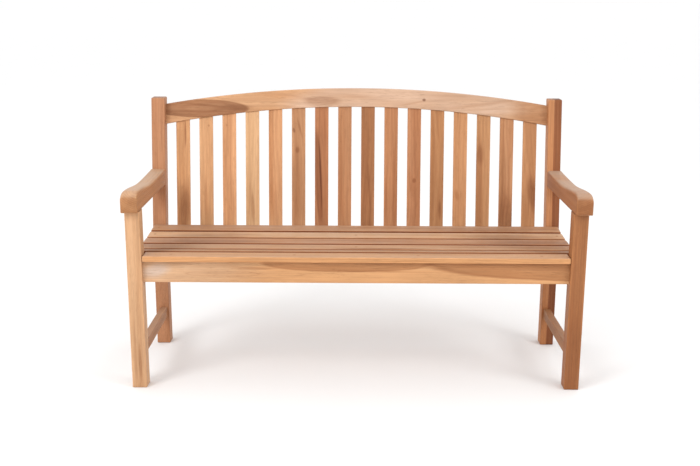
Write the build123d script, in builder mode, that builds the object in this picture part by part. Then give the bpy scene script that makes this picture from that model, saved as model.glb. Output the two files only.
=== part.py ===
"""Three-seat slatted garden bench in teak, with an arched crest rail and shaped arms.

Millimetres, +Z up. The bench faces -Y and is symmetrical about the YZ plane. The origin is the
middle of its footprint on the ground: half way across, and half way between the noses of the arms
and the backs of the raked posts.
"""
from build123d import *
from math import cos, hypot, radians, sin, sqrt, tan
import os

# ---------------------------------------------------------------- driving dimensions
leg_span = 1470.0          # outer face of the left legs to outer face of the right legs
leg_width = 48.0           # legs and posts, left to right
leg_depth = 50.0           # front legs, front to back
post_depth = 50.0          # back posts, front to back, measured level
leg_setback = 429.0        # front face of the front legs to front face of the back posts
post_height = 900.0        # tops of the back posts
bend_height = 398.5        # height where the back posts start to rake
rake = 8.3                 # degrees the posts lean back above the bend

seat_height = 448.0        # front top edge of the front seat slat
seat_dish = 11.0           # depth of the dished seat under that edge
seat_low_setback = 202.0   # lowest line of the dish, behind the front of the legs
seat_slat_count = 6
seat_slat_gap = 14.3       # between neighbouring slats, which share out the depth of the seat
seat_slat_thick = 18.0
seat_slat_inset = 5.0      # ends of the full-length slats, inside the outer faces of the legs

crest_above_posts = 36.0   # top of the arch at the middle, over the tops of the posts
crest_depth = 67.0         # crest rail at the middle, top to underside
crest_rise = 59.0          # rise of the arched top, posts to middle
crest_under_rise = 64.0    # rise of the arched underside, posts to middle
crest_thick = 24.0
back_slat_count = 16
back_slat_width = 49.0
back_slat_thick = 13.0

apron_thick = 24.0
apron_recess = 16.0        # front face of the apron behind the front of the legs
rail_drop = 90.0           # undersides of the apron, side rails and bearer under the seat's front edge
side_rail_thick = 24.0     # side seat rails and lower stretchers
side_rail_inset = 7.0      # inner face of a side rail behind the inner face of its leg
rear_rail_thick = 24.0
rear_rail_depth = 68.0
rear_rail_drop = 12.0      # top of the rear rail under the seat's front edge
bearer_thick = 22.0
stretcher_depth = 36.0
stretcher_bottom = 104.0

arm_bottom = 593.0         # undersides of the arms, where the front legs stop
arm_rear_thick = 56.5      # where the arms meet the posts
arm_waist_thick = 50.5     # at the lowest point of the scooped top
arm_waist_setback = 240.0
arm_crown_thick = 66.0     # at the highest point, over the front leg
arm_crown_setback = 12.0
arm_nose = 26.0            # reach of the arms in front of the front legs
arm_nose_thick = 41.0      # flat front face under the rolled top of the nose
arm_overhang = 6.5         # reach of the arms outside the legs and posts
arm_inner_inset = 1.0      # inner faces of the arms behind the inner faces of the legs

# ---------------------------------------------------------------- joints and fastenings
fit = 0.2                  # clearance on each side of a tenon or slat in its mortise
end_gap = 0.8              # room past the end of a tenon
peg_diameter = 8.0
peg_margin = 10.0          # centre of a peg to the edge of its tenon
apron_peg_inset = 7.0      # centre of the apron's peg outside the leg's inner face
side_peg_length = 38.0
arm_peg_length = 52.0
apron_peg_length = 34.0
back_peg_length = 30.0
peg_fit = 0.1              # clearance round a peg, on the radius
tenon_thick = 10.0
tenon_length = 30.0        # apron, stretchers, crest rail and rear rail
tenon_shoulder = 9.0       # shoulder above and below a rail's tenon
stretcher_shoulder = 6.0
tenon_wall = 3.0           # from the end of a side rail's tenon to the tenon that crosses it
apron_tenon_setback = 21.0 # front cheek of the apron's tenon
bearer_tenon = 12.0
arm_tenon_height = 26.0    # tenon at the back of an arm
arm_tenon_length = 22.0
arm_tenon_rise = 12.0      # shoulder under that tenon
leg_tenon_size = 24.0      # square tenon on top of a front leg
leg_tenon_length = 30.0
slat_housing = 15.0        # depth that a back slat goes into each rail
slat_top_gap = 1.0         # room over a back slat in the crest rail
seat_joint_gap = 0.5       # each end of the front seat slat to its leg
seat_back_gap = 3.0        # rearmost slat to the back posts, at its underside

screw_diameter = 4.5
screw_head_diameter = 9.0
screw_length = 34.0
screw_point = 4.0
screw_fit = 0.15           # clearance round a screw, on the radius
plug_diameter = 10.0
plug_thick = 5.0
plug_fit = 0.05
front_screw_count = 4
front_screw_inset = 90.0   # outermost screws of the front slat, from the front legs

# ---------------------------------------------------------------- softened edges
leg_round = 2.5
foot_chamfer = 2.0
post_top_chamfer = 3.0
crest_round = 4.0
crest_under_chamfer = 2.0
rail_round = 1.5
seat_slat_round = 3.0
back_slat_round = 2.0
arm_top_round = 8.0
arm_under_round = 3.0
arm_corner_round = 8.0

# ---------------------------------------------------------------- derived places
lean = radians(rake)
rake_slope = tan(lean)
back_thick = post_depth * cos(lean)
crest_recess = back_thick - crest_thick
crest_top = (post_height + crest_above_posts - bend_height + crest_recess * sin(lean)) / cos(lean)
post_reach = post_depth + (post_height - post_top_chamfer - bend_height) * rake_slope
crest_reach = ((crest_top - crest_round) * sin(lean) + (back_thick - crest_round) * cos(lean)
               + crest_round)
overall_depth = arm_nose + leg_setback + max(post_reach, crest_reach)
front_y = arm_nose - overall_depth / 2
post_y = front_y + leg_setback
leg_outer = leg_span / 2
leg_inner = leg_outer - leg_width
leg_middle = leg_outer - leg_width / 2
side_rail_x = leg_inner + side_rail_inset + side_rail_thick / 2
rail_bottom = seat_height - rail_drop
rear_rail_top = seat_height - rear_rail_drop
arm_rear_height = arm_bottom + arm_rear_thick
arm_crown_height = arm_bottom + arm_crown_thick
slat_recess = crest_recess + (crest_thick - back_slat_thick) / 2
sides = (("left", -1), ("right", 1))


def post_face(height):
    """y of the front face of the back posts at a height."""
    return post_y + max(0.0, height - bend_height) * rake_slope


seat_depth = post_face(rear_rail_top) - front_y - seat_back_gap
seat_slat_width = (seat_depth - (seat_slat_count - 1) * seat_slat_gap) / seat_slat_count
seat_pitch = seat_slat_width + seat_slat_gap


def seat_top(setback):
    """Height of the seat behind the front of the legs: level at first, then a slope into the dish."""
    if setback < seat_pitch:
        return seat_height
    sunk = seat_dish - seat_dish * (setback / seat_low_setback - 1) ** 2
    return seat_height - sunk * min(1.0, (setback - seat_pitch) / seat_slat_width)


def slat_corner(index, end, depth):
    """(y, z) of a seat slat's front (end 0) or rear (end 1) corner, depth below its top face."""
    start = index * seat_pitch
    rise = seat_top(start + seat_slat_width) - seat_top(start)
    length = hypot(seat_slat_width, rise)
    y = front_y + start + end * seat_slat_width + depth * rise / length
    z = seat_top(start) + end * rise - depth * seat_slat_width / length
    return y, z


def under_slat(index, y):
    """Height of a seat slat's underside, carried on in a straight line to y."""
    y0, z0 = slat_corner(index, 0, seat_slat_thick)
    y1, z1 = slat_corner(index, 1, seat_slat_thick)
    return z0 + (z1 - z0) * (y - y0) / (y1 - y0)


def slat_plane(index, x=0.0):
    """Plane on top of a seat slat: origin at its middle, x axis along it, z axis out of it."""
    y0, z0 = slat_corner(index, 0, 0)
    y1, z1 = slat_corner(index, 1, 0)
    return Plane(origin=(x, (y0 + y1) / 2, (z0 + z1) / 2), x_dir=(1, 0, 0), z_dir=(0, z0 - z1, y1 - y0))


def back_plane(depth):
    """Plane parallel to the raked front faces of the posts, depth behind them.

    Its x axis is the bench's, its y axis runs up the slope from the bend, and its z axis faces
    forwards.
    """
    face = Plane(origin=(0, post_y, bend_height), x_dir=(1, 0, 0), z_dir=(0, -cos(lean), sin(lean)))
    return face.offset(-depth)


def back_point(slope, depth):
    """(y, z) of a point so far up the slope from the bend and so far behind the posts' raked faces."""
    return (post_y + slope * sin(lean) + depth * cos(lean),
            bend_height + slope * cos(lean) - depth * sin(lean))


def up_slope(height, depth):
    """Distance up the slope from the bend for a height, on the back plane at that depth."""
    return (height - bend_height + depth * sin(lean)) / cos(lean)


def arc_height(x, peak, rise):
    """Height at x of an arch that springs from the posts' inner faces."""
    radius = (leg_inner ** 2 + rise ** 2) / (2 * rise)
    return peak - radius + sqrt(radius ** 2 - x ** 2)


crest_under = crest_top - crest_depth
rear_top = up_slope(rear_rail_top, crest_recess)
back_slat_gap = (2 * leg_inner - back_slat_count * back_slat_width) / (back_slat_count + 1)
back_slat_pitch = back_slat_width + back_slat_gap
back_slat_x = [(i - (back_slat_count - 1) / 2) * back_slat_pitch for i in range(back_slat_count)]
side_tenon_low = rail_bottom + tenon_shoulder
side_tenon_high = seat_top(seat_low_setback) - seat_slat_thick - tenon_shoulder
stretcher_top = stretcher_bottom + stretcher_depth
stretcher_middle = stretcher_bottom + stretcher_depth / 2
stretcher_tenon_low = stretcher_bottom + stretcher_shoulder
stretcher_tenon_high = stretcher_top - stretcher_shoulder
crest_end_top = crest_top - crest_rise
crest_end_under = crest_under - crest_under_rise
crest_tenon_low = crest_end_under + tenon_shoulder
crest_tenon_high = crest_end_top - tenon_shoulder
rear_bottom = rear_top - rear_rail_depth
rear_tenon_low = rear_bottom + tenon_shoulder
rear_tenon_high = rear_top - tenon_shoulder
arm_tenon_low = arm_bottom + arm_tenon_rise
arm_tenon_middle = arm_tenon_low + arm_tenon_height / 2
back_cheek = crest_recess + (crest_thick - tenon_thick) / 2
side_tenon_front = leg_depth - apron_tenon_setback - tenon_thick - tenon_wall
side_tenon_rear = back_point(rear_tenon_low, back_cheek)[0] - post_y - tenon_wall
leg_back = front_y + leg_depth
apron_front = front_y + apron_recess
apron_back = apron_front + apron_thick
apron_cheek = front_y + apron_tenon_setback


def block(x0, x1, y0, y1, z0, z1, mode=Mode.ADD):
    """Box between two corners, added to or cut from the part being built."""
    with Locations(((x0 + x1) / 2, (y0 + y1) / 2, (z0 + z1) / 2)):
        Box(abs(x1 - x0), abs(y1 - y0), abs(z1 - z0), mode=mode)


def post_outline():
    """Closed side outline of a back post, drawn on Plane.YZ."""
    top_y = post_face(post_height)
    Polyline((post_y, 0), (post_y, bend_height), (top_y, post_height), (top_y + post_depth, post_height),
             (post_y + post_depth, bend_height), (post_y + post_depth, 0), close=True)


def seat_bearer_outline(y_start, y_end):
    """Closed side outline of a rail under the seat: its top is one flat for each slat."""
    points = [(y_start, under_slat(0, y_start)), slat_corner(0, 1, seat_slat_thick)]
    for index in range(1, seat_slat_count):
        points += [slat_corner(index, 0, seat_slat_thick), slat_corner(index, 1, seat_slat_thick)]
    Polyline(*points, (y_end, points[-1][1]), (y_end, rail_bottom), (y_start, rail_bottom), close=True)


def side_tongue(sign, y0, y1, z0, z1, clearance=0.0, mode=Mode.ADD):
    """Tongue that makes the tenons of a side rail or stretcher, or cuts the mortises for them."""
    x = sign * side_rail_x
    half = tenon_thick / 2 + clearance
    block(x - half, x + half, y0, y1, z0 - clearance, z1 + clearance, mode)


def arm_tongue(sign, length, clearance=0.0, mode=Mode.ADD):
    """Tenon on the back of an arm, or the mortise for it in the post."""
    x = sign * leg_middle
    half = tenon_thick / 2 + clearance
    block(x - half, x + half, post_face(arm_bottom) - tenon_shoulder, post_face(arm_tenon_middle) + length,
          arm_tenon_low - clearance, arm_tenon_low + arm_tenon_height + clearance, mode)


def leg_tongue(sign, length, clearance=0.0, mode=Mode.ADD):
    """Square tenon on top of a front leg, or the mortise for it in the arm."""
    x = sign * leg_middle
    y = front_y + leg_depth / 2
    half = leg_tenon_size / 2 + clearance
    block(x - half, x + half, y - half, y + half, arm_bottom - tenon_shoulder, arm_bottom + length, mode)


def joint_pegs(sign):
    """Every peg on one side: its end face's plane, with z pointing out of the wood, and its length."""
    def across(x, y, z, length):
        return Plane(origin=(sign * x, y, z), x_dir=(0, 1, 0), z_dir=(sign, 0, 0)), length

    def from_behind(slope):
        y, z = back_point(slope, back_thick)
        plane = Plane(origin=(sign * (leg_inner + tenon_length / 2), y, z), x_dir=(1, 0, 0),
                      z_dir=(0, cos(lean), -sin(lean)))
        return plane, back_peg_length

    side_z = side_tenon_high - peg_margin
    apron_plane = Plane(origin=(sign * (leg_inner + apron_peg_inset), leg_back, side_tenon_low + peg_margin),
                        x_dir=(1, 0, 0), z_dir=(0, 1, 0))
    return {
        "side_rail_front": across(leg_outer, leg_back - side_tenon_front / 2, side_z, side_peg_length),
        "side_rail_rear": across(leg_outer, post_y + side_tenon_rear / 2, side_z, side_peg_length),
        "stretcher_front": across(leg_outer, leg_back - tenon_length / 2, stretcher_middle,
                                  side_peg_length),
        "stretcher_rear": across(leg_outer, post_y + tenon_length / 2, stretcher_middle, side_peg_length),
        "arm_front": across(leg_outer + arm_overhang, front_y + leg_depth / 2,
                            arm_bottom + leg_tenon_length / 2, arm_peg_length),
        "arm_rear": across(leg_outer, post_face(arm_tenon_middle) + arm_tenon_length / 2,
                           arm_tenon_middle, side_peg_length),
        "apron": (apron_plane, apron_peg_length),
        "crest_low": from_behind(crest_tenon_low + peg_margin),
        "crest_high": from_behind(crest_tenon_high - peg_margin),
        "rear_rail": from_behind(rear_tenon_high - peg_margin),
    }


def drill(sign, *names):
    """Cut the holes of the named pegs on one side."""
    for name in names:
        plane, length = joint_pegs(sign)[name]
        with BuildSketch(plane) as hole:
            Circle(peg_diameter / 2 + peg_fit)
        extrude(hole.sketch, amount=-(length + end_gap), mode=Mode.SUBTRACT)


def add_pegs(*names):
    """Add the named pegs on both sides."""
    for _, sign in sides:
        for name in names:
            plane, length = joint_pegs(sign)[name]
            with BuildSketch(plane) as peg:
                Circle(peg_diameter / 2)
            extrude(peg.sketch, amount=-length)


def pilot_holes(places):
    """Cut the screws' holes in the wood under the seat slats."""
    for index, x in places:
        with Locations(slat_plane(index, x).offset(-seat_slat_thick)):
            Hole(screw_diameter / 2 + screw_fit, depth=screw_length + plug_thick - seat_slat_thick + end_gap)


def finish_part(part, name):
    """Label a finished piece and write its STEP file."""
    part.label = name
    export_step(part, f"parts/{name}.step")


front_screw_pitch = 2 * (leg_inner - front_screw_inset) / (front_screw_count - 1)
front_screws = [(0, (i - (front_screw_count - 1) / 2) * front_screw_pitch) for i in range(front_screw_count)]
side_screws = {sign: [(index, sign * side_rail_x) for index in range(1, seat_slat_count)]
               for _, sign in sides}
middle_screws = [(index, 0.0) for index in range(1, seat_slat_count)]
all_screws = front_screws + side_screws[-1] + middle_screws + side_screws[1]

os.makedirs("parts", exist_ok=True)

# ---------------------------------------------------------------- front legs
for side, sign in sides:
    with BuildPart() as front_leg:
        block(sign * leg_inner, sign * leg_outer, front_y, leg_back, 0, arm_bottom)
        fillet(front_leg.edges().filter_by(Axis.Z), leg_round)
        chamfer(front_leg.faces().sort_by(Axis.Z)[0].edges(), foot_chamfer)
        leg_tongue(sign, leg_tenon_length)
        block(sign * leg_inner, sign * (leg_inner + tenon_length + end_gap),
              apron_cheek - fit, apron_cheek + tenon_thick + fit,
              side_tenon_low - fit, side_tenon_high + fit, Mode.SUBTRACT)
        side_tongue(sign, leg_back - side_tenon_front - end_gap, leg_back,
                    side_tenon_low, side_tenon_high, fit, Mode.SUBTRACT)
        side_tongue(sign, leg_back - tenon_length - end_gap, leg_back,
                    stretcher_tenon_low, stretcher_tenon_high, fit, Mode.SUBTRACT)
        drill(sign, "side_rail_front", "stretcher_front", "apron", "arm_front")
    finish_part(front_leg.part, f"{side}_front_leg")

# ---------------------------------------------------------------- back posts
for side, sign in sides:
    with BuildPart() as back_post:
        with BuildSketch(Plane.YZ.offset(min(sign * leg_inner, sign * leg_outer))):
            with BuildLine():
                post_outline()
            make_face()
        extrude(amount=leg_width)
        chamfer(back_post.faces().sort_by(Axis.Z)[-1].edges(), post_top_chamfer)
        chamfer(back_post.faces().sort_by(Axis.Z)[0].edges(), foot_chamfer)
        fillet(back_post.edges().filter_by(lambda edge: edge.length > bend_height / 2), leg_round)
        side_tongue(sign, post_y, post_y + side_tenon_rear + end_gap,
                    side_tenon_low, side_tenon_high, fit, Mode.SUBTRACT)
        side_tongue(sign, post_y, post_y + tenon_length + end_gap,
                    stretcher_tenon_low, stretcher_tenon_high, fit, Mode.SUBTRACT)
        arm_tongue(sign, arm_tenon_length + end_gap, fit, Mode.SUBTRACT)
        with BuildSketch(back_plane(back_cheek - fit)):
            for low, high in ((crest_tenon_low, crest_tenon_high), (rear_tenon_low, rear_tenon_high)):
                with Locations((sign * (leg_inner + (tenon_length + end_gap) / 2), (low + high) / 2)):
                    Rectangle(tenon_length + end_gap, high - low + 2 * fit)
        extrude(amount=-(tenon_thick + 2 * fit), mode=Mode.SUBTRACT)
        drill(sign, "side_rail_rear", "stretcher_rear", "arm_rear", "crest_low", "crest_high", "rear_rail")
    finish_part(back_post.part, f"{side}_back_post")

# ---------------------------------------------------------------- arms
for side, sign in sides:
    inner = sign * (leg_inner + arm_inner_inset)
    outer = sign * (leg_outer + arm_overhang)
    nose_y = front_y - arm_nose
    rear_y = post_face(arm_rear_height)
    crown = (front_y + arm_crown_setback, arm_crown_height)
    waist = (front_y + arm_waist_setback, arm_bottom + arm_waist_thick)
    nose = (nose_y, arm_bottom + arm_nose_thick)
    with BuildPart() as arm:
        with BuildSketch(Plane.XY.offset(arm_bottom)):
            with BuildLine():
                Polyline((outer, nose_y), (inner, nose_y), (inner, rear_y), (outer, rear_y), close=True)
            make_face()
        extrude(amount=arm_crown_height - arm_bottom)
        with BuildSketch(Plane.YZ.offset(min(inner, outer) - end_gap)):
            with BuildLine():
                Spline((rear_y, arm_rear_height), waist, crown, tangents=((-1, 0), (-1, 0)))
                TangentArc(crown, nose, tangent=(-1, 0))
                Polyline(nose, (nose_y, arm_bottom),
                         (post_face(arm_bottom), arm_bottom), (rear_y, arm_rear_height))
            make_face()
        extrude(amount=abs(outer - inner) + 2 * end_gap, mode=Mode.INTERSECT)
        fillet(arm.edges().filter_by(Axis.Z).group_by(Axis.Y)[0], arm_corner_round)
        shaped = arm.faces().filter_by(lambda face: face.normal_at().Z > 0.3).edges()
        fillet(shaped.filter_by(lambda edge: abs(edge.tangent_at(0.5).X) < 0.5), arm_top_round)
        under = arm.faces().sort_by(Axis.Z)[0].edges()
        fillet(under.filter_by(lambda edge: edge.center().Y < rear_y - arm_tenon_length), arm_under_round)
        arm_tongue(sign, arm_tenon_length)
        leg_tongue(sign, leg_tenon_length + end_gap, fit, Mode.SUBTRACT)
        drill(sign, "arm_front", "arm_rear")
    finish_part(arm.part, f"{side}_arm")

# ---------------------------------------------------------------- side seat rails and stretchers
for side, sign in sides:
    rail_low_x = sign * side_rail_x - side_rail_thick / 2
    with BuildPart() as side_rail:
        with BuildSketch(Plane.YZ.offset(rail_low_x)):
            with BuildLine():
                seat_bearer_outline(leg_back, post_y + post_depth)
            make_face()
            with BuildLine():
                post_outline()
            make_face(mode=Mode.SUBTRACT)
        extrude(amount=side_rail_thick)
        fillet(side_rail.faces().sort_by(Axis.Z)[0].edges().filter_by(Axis.Y), rail_round)
        side_tongue(sign, leg_back - side_tenon_front, post_y + side_tenon_rear,
                    side_tenon_low, side_tenon_high)
        drill(sign, "side_rail_front", "side_rail_rear")
        pilot_holes(side_screws[sign])
    finish_part(side_rail.part, f"{side}_side_seat_rail")

    with BuildPart() as stretcher:
        block(rail_low_x, rail_low_x + side_rail_thick, leg_back, post_y, stretcher_bottom, stretcher_top)
        fillet(stretcher.edges().filter_by(Axis.Y), rail_round)
        side_tongue(sign, leg_back - tenon_length, post_y + tenon_length,
                    stretcher_tenon_low, stretcher_tenon_high)
        drill(sign, "stretcher_front", "stretcher_rear")
    finish_part(stretcher.part, f"{side}_lower_stretcher")

# ---------------------------------------------------------------- front apron
with BuildPart() as front_apron:
    with BuildSketch(Plane.YZ.offset(-leg_inner)):
        with BuildLine():
            Polyline((apron_front, rail_bottom), (apron_back, rail_bottom),
                     (apron_back, under_slat(0, apron_back)), (apron_front, under_slat(0, apron_front)),
                     close=True)
        make_face()
    extrude(amount=2 * leg_inner)
    fillet(front_apron.faces().sort_by(Axis.Z)[0].edges().filter_by(Axis.X), rail_round)
    block(-leg_inner - tenon_length, leg_inner + tenon_length, apron_cheek, apron_cheek + tenon_thick,
          side_tenon_low, side_tenon_high)
    block(-tenon_thick / 2 - fit, tenon_thick / 2 + fit, apron_back - bearer_tenon - end_gap, apron_back,
          side_tenon_low - fit, side_tenon_high + fit, Mode.SUBTRACT)
    for _, sign in sides:
        drill(sign, "apron")
    pilot_holes(front_screws)
finish_part(front_apron.part, "front_apron")

# ---------------------------------------------------------------- rear seat rail
bearer_rear = back_point(up_slope(side_tenon_low, crest_recess), crest_recess)[0] + bearer_tenon
with BuildPart() as rear_rail:
    with BuildSketch(back_plane(crest_recess)):
        with Locations((0, (rear_bottom + rear_top) / 2)):
            Rectangle(2 * leg_inner, rear_rail_depth)
    extrude(amount=-rear_rail_thick)
    fillet(rear_rail.edges().filter_by(Axis.X), rail_round)
    with BuildSketch(back_plane(back_cheek)):
        with Locations((0, (rear_tenon_low + rear_tenon_high) / 2)):
            Rectangle(2 * (leg_inner + tenon_length), rear_tenon_high - rear_tenon_low)
    extrude(amount=-tenon_thick)
    with BuildSketch(back_plane(slat_recess - fit)):
        with Locations(*[(x, rear_top) for x in back_slat_x]):
            Rectangle(back_slat_width + 2 * fit, 2 * slat_housing)
    extrude(amount=-(back_slat_thick + 2 * fit), mode=Mode.SUBTRACT)
    block(-tenon_thick / 2 - fit, tenon_thick / 2 + fit, post_y, bearer_rear + end_gap,
          side_tenon_low - fit, side_tenon_high + fit, Mode.SUBTRACT)
    for _, sign in sides:
        drill(sign, "rear_rail")
finish_part(rear_rail.part, "rear_seat_rail")

# ---------------------------------------------------------------- centre seat bearer
with BuildPart() as bearer:
    with BuildSketch(Plane.YZ.offset(-bearer_thick / 2)):
        with BuildLine():
            seat_bearer_outline(apron_back, post_y + post_depth)
        make_face()
        with BuildLine():
            reach = 2 * rear_rail_depth
            Polyline(back_point(-reach, crest_recess), back_point(reach, crest_recess),
                     back_point(reach, crest_recess + reach), back_point(-reach, crest_recess + reach),
                     close=True)
        make_face(mode=Mode.SUBTRACT)
    extrude(amount=bearer_thick)
    block(-tenon_thick / 2, tenon_thick / 2, apron_back - bearer_tenon, bearer_rear,
          side_tenon_low, side_tenon_high)
    pilot_holes(middle_screws)
finish_part(bearer.part, "centre_seat_bearer")

# ---------------------------------------------------------------- crest rail
with BuildPart() as crest_rail:
    with BuildSketch(back_plane(crest_recess)):
        with BuildLine():
            ThreePointArc((-leg_inner, crest_end_top), (0, crest_top), (leg_inner, crest_end_top))
            Line((leg_inner, crest_end_top), (leg_inner, crest_end_under))
            ThreePointArc((leg_inner, crest_end_under), (0, crest_under), (-leg_inner, crest_end_under))
            Line((-leg_inner, crest_end_under), (-leg_inner, crest_end_top))
        make_face()
    extrude(amount=-crest_thick)
    fillet(crest_rail.edges().filter_by(GeomType.CIRCLE).sort_by(Axis.Z)[-2:], crest_round)
    chamfer(crest_rail.edges().filter_by(GeomType.CIRCLE).sort_by(Axis.Z)[:2], crest_under_chamfer)
    with BuildSketch(back_plane(back_cheek)):
        for _, sign in sides:
            with Locations((sign * (leg_inner + tenon_length / 2 - end_gap / 2),
                            (crest_tenon_low + crest_tenon_high) / 2)):
                Rectangle(tenon_length + end_gap, crest_tenon_high - crest_tenon_low)
    extrude(amount=-tenon_thick)
    with BuildSketch(back_plane(slat_recess - fit)):
        for x in back_slat_x:
            with Locations((x, arc_height(x, crest_under, crest_under_rise))):
                Rectangle(back_slat_width + 2 * fit, 2 * slat_housing)
    extrude(amount=-(back_slat_thick + 2 * fit), mode=Mode.SUBTRACT)
    for _, sign in sides:
        drill(sign, "crest_low", "crest_high")
finish_part(crest_rail.part, "crest_rail")

# ---------------------------------------------------------------- back slats
for number, x in enumerate(back_slat_x, start=1):
    slat_low = rear_top - slat_housing
    slat_high = arc_height(x, crest_under, crest_under_rise) + slat_housing - slat_top_gap
    with BuildPart() as back_slat:
        with BuildSketch(back_plane(slat_recess)):
            with Locations((x, (slat_low + slat_high) / 2)):
                Rectangle(back_slat_width, slat_high - slat_low)
        extrude(amount=-back_slat_thick)
        long_edges = back_slat.edges().filter_by(lambda edge: edge.length > 2 * back_slat_width)
        fillet(long_edges, back_slat_round)
    finish_part(back_slat.part, f"back_slat_{number:02d}")

# ---------------------------------------------------------------- seat slats
for index in range(seat_slat_count):
    half_length = leg_outer - seat_slat_inset if index else leg_inner - seat_joint_gap
    places = [(i, x) for i, x in all_screws if i == index]
    with BuildPart() as seat_slat:
        with BuildSketch(slat_plane(index)):
            Rectangle(2 * half_length, seat_slat_width)
        extrude(amount=-seat_slat_thick)
        fillet(seat_slat.faces().sort_by(Axis.Z)[-1].edges(), seat_slat_round)
        for _, x in places:
            with Locations(slat_plane(index, x)):
                Hole(plug_diameter / 2 + plug_fit, depth=plug_thick)
            with Locations(slat_plane(index, x).offset(-plug_thick)):
                CounterSinkHole(screw_diameter / 2 + screw_fit, screw_head_diameter / 2 + screw_fit,
                                counter_sink_angle=90)
    finish_part(seat_slat.part, f"seat_slat_{index + 1}")

# ---------------------------------------------------------------- screws, plugs and pegs
with BuildPart() as screw:
    with BuildSketch(Plane.XZ):
        with BuildLine():
            neck = (screw_head_diameter - screw_diameter) / 2
            Polyline((0, 0), (screw_head_diameter / 2, 0), (screw_diameter / 2, -neck),
                     (screw_diameter / 2, screw_point - screw_length), (0, -screw_length), close=True)
        make_face()
    revolve(axis=Axis.Z)

with BuildPart() as seat_screws:
    with Locations(*[slat_plane(index, x).offset(-plug_thick) for index, x in all_screws]):
        add(screw.part)
finish_part(seat_screws.part, "seat_screws")

with BuildPart() as screw_plugs:
    with Locations(*[slat_plane(index, x) for index, x in all_screws]):
        Cylinder(plug_diameter / 2, plug_thick, align=(Align.CENTER, Align.CENTER, Align.MAX))
finish_part(screw_plugs.part, "screw_plugs")

peg_groups = {
    "side_frame_pegs": ("side_rail_front", "side_rail_rear", "stretcher_front", "stretcher_rear"),
    "arm_pegs": ("arm_front", "arm_rear"),
    "apron_pegs": ("apron",),
    "back_frame_pegs": ("crest_low", "crest_high", "rear_rail"),
}
for name, members in peg_groups.items():
    with BuildPart() as pegs:
        add_pegs(*members)
    finish_part(pegs.part, name)
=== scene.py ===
"""Looks of a slatted teak garden bench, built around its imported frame.

Metres, +Z up, the bench faces -Y. Each sub-assembly is a class: it shapes its boards as soft
edged lofts, or keeps the frame's own meshes, and dresses them in teak that is sawn, board by
board, out of one solid grain.
"""

import logging
from dataclasses import dataclass
from enum import Enum
from math import cos, hypot, pi, radians, sin, sqrt, tan
from typing import Sequence

import bpy
from mathutils import Euler, Matrix, Vector, noise

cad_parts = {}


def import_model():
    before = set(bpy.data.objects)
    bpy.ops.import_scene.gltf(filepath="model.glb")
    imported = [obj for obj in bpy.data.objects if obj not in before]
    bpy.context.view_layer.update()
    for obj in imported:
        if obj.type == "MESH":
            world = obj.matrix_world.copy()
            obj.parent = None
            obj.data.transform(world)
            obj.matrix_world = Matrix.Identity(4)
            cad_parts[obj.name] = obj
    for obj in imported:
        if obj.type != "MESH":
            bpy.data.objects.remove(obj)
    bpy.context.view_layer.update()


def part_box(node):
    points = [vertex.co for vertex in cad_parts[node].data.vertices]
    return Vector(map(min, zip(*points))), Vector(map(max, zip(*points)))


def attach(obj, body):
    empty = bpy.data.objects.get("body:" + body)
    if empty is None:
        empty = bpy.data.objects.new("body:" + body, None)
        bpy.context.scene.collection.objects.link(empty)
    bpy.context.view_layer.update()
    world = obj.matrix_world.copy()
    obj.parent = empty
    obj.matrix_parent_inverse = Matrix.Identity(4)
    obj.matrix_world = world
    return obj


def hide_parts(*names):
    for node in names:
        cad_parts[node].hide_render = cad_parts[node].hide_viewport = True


log = logging.getLogger("bench")

Node = bpy.types.Node
NodeTree = bpy.types.NodeTree
Socket = bpy.types.NodeSocket
Material = bpy.types.Material
Rgb = tuple[float, float, float]
Triple = tuple[float, float, float]
Value = float | Sequence[float] | Socket

X_AXIS = Vector((1, 0, 0)).freeze()
Y_AXIS = Vector((0, 1, 0)).freeze()
Z_AXIS = Vector((0, 0, 1)).freeze()
FAR_EDGES = Vector((1, 1, 1)).freeze()  # a half size past any board's, so that no edge looks rubbed
TENON_ROUND = 0.0006
SECTION_PITCH = 0.03
ARM_HEIGHT = 0.65  # about where the arms meet the posts; the posts' figure is measured from it


class Side(Enum):
    """The bench's two sides, by the sign of X."""

    LEFT = -1
    RIGHT = 1

    @property
    def word(self) -> str:
        """The side as the names of nodes and pieces give it."""
        return self.name.lower()


class Slot(Enum):
    """The record's material slots for the shaped boards."""

    FRAME = "teak_frame"
    SEAT = "teak_seat"
    BACK = "teak_back"


# ---------------------------------------------------------------- wiring of shader nodes
class Layer(Enum):
    """Layers of a board's figure: cycles per metre along, across and through it."""

    WANDER = (1.7, 0.6, 0.6)
    RIPPLE = (4.0, 38.0, 38.0)
    CLOUDS = (3.5, 22.0, 22.0)
    STREAKS = (1.3, 70.0, 70.0)
    FIBRE = (9.0, 620.0, 620.0)
    PORES = (34.0, 1300.0, 1300.0)
    MARK_EDGE = (9.0, 26.0, 26.0)
    SCUFFS = (22.0, 90.0, 90.0)
    # Patches of painted sheen on upward faces.
    SILVERING = (2.4, 9.0, 9.0)
    TURNING = (400.0, 400.0, 4000.0)


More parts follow.
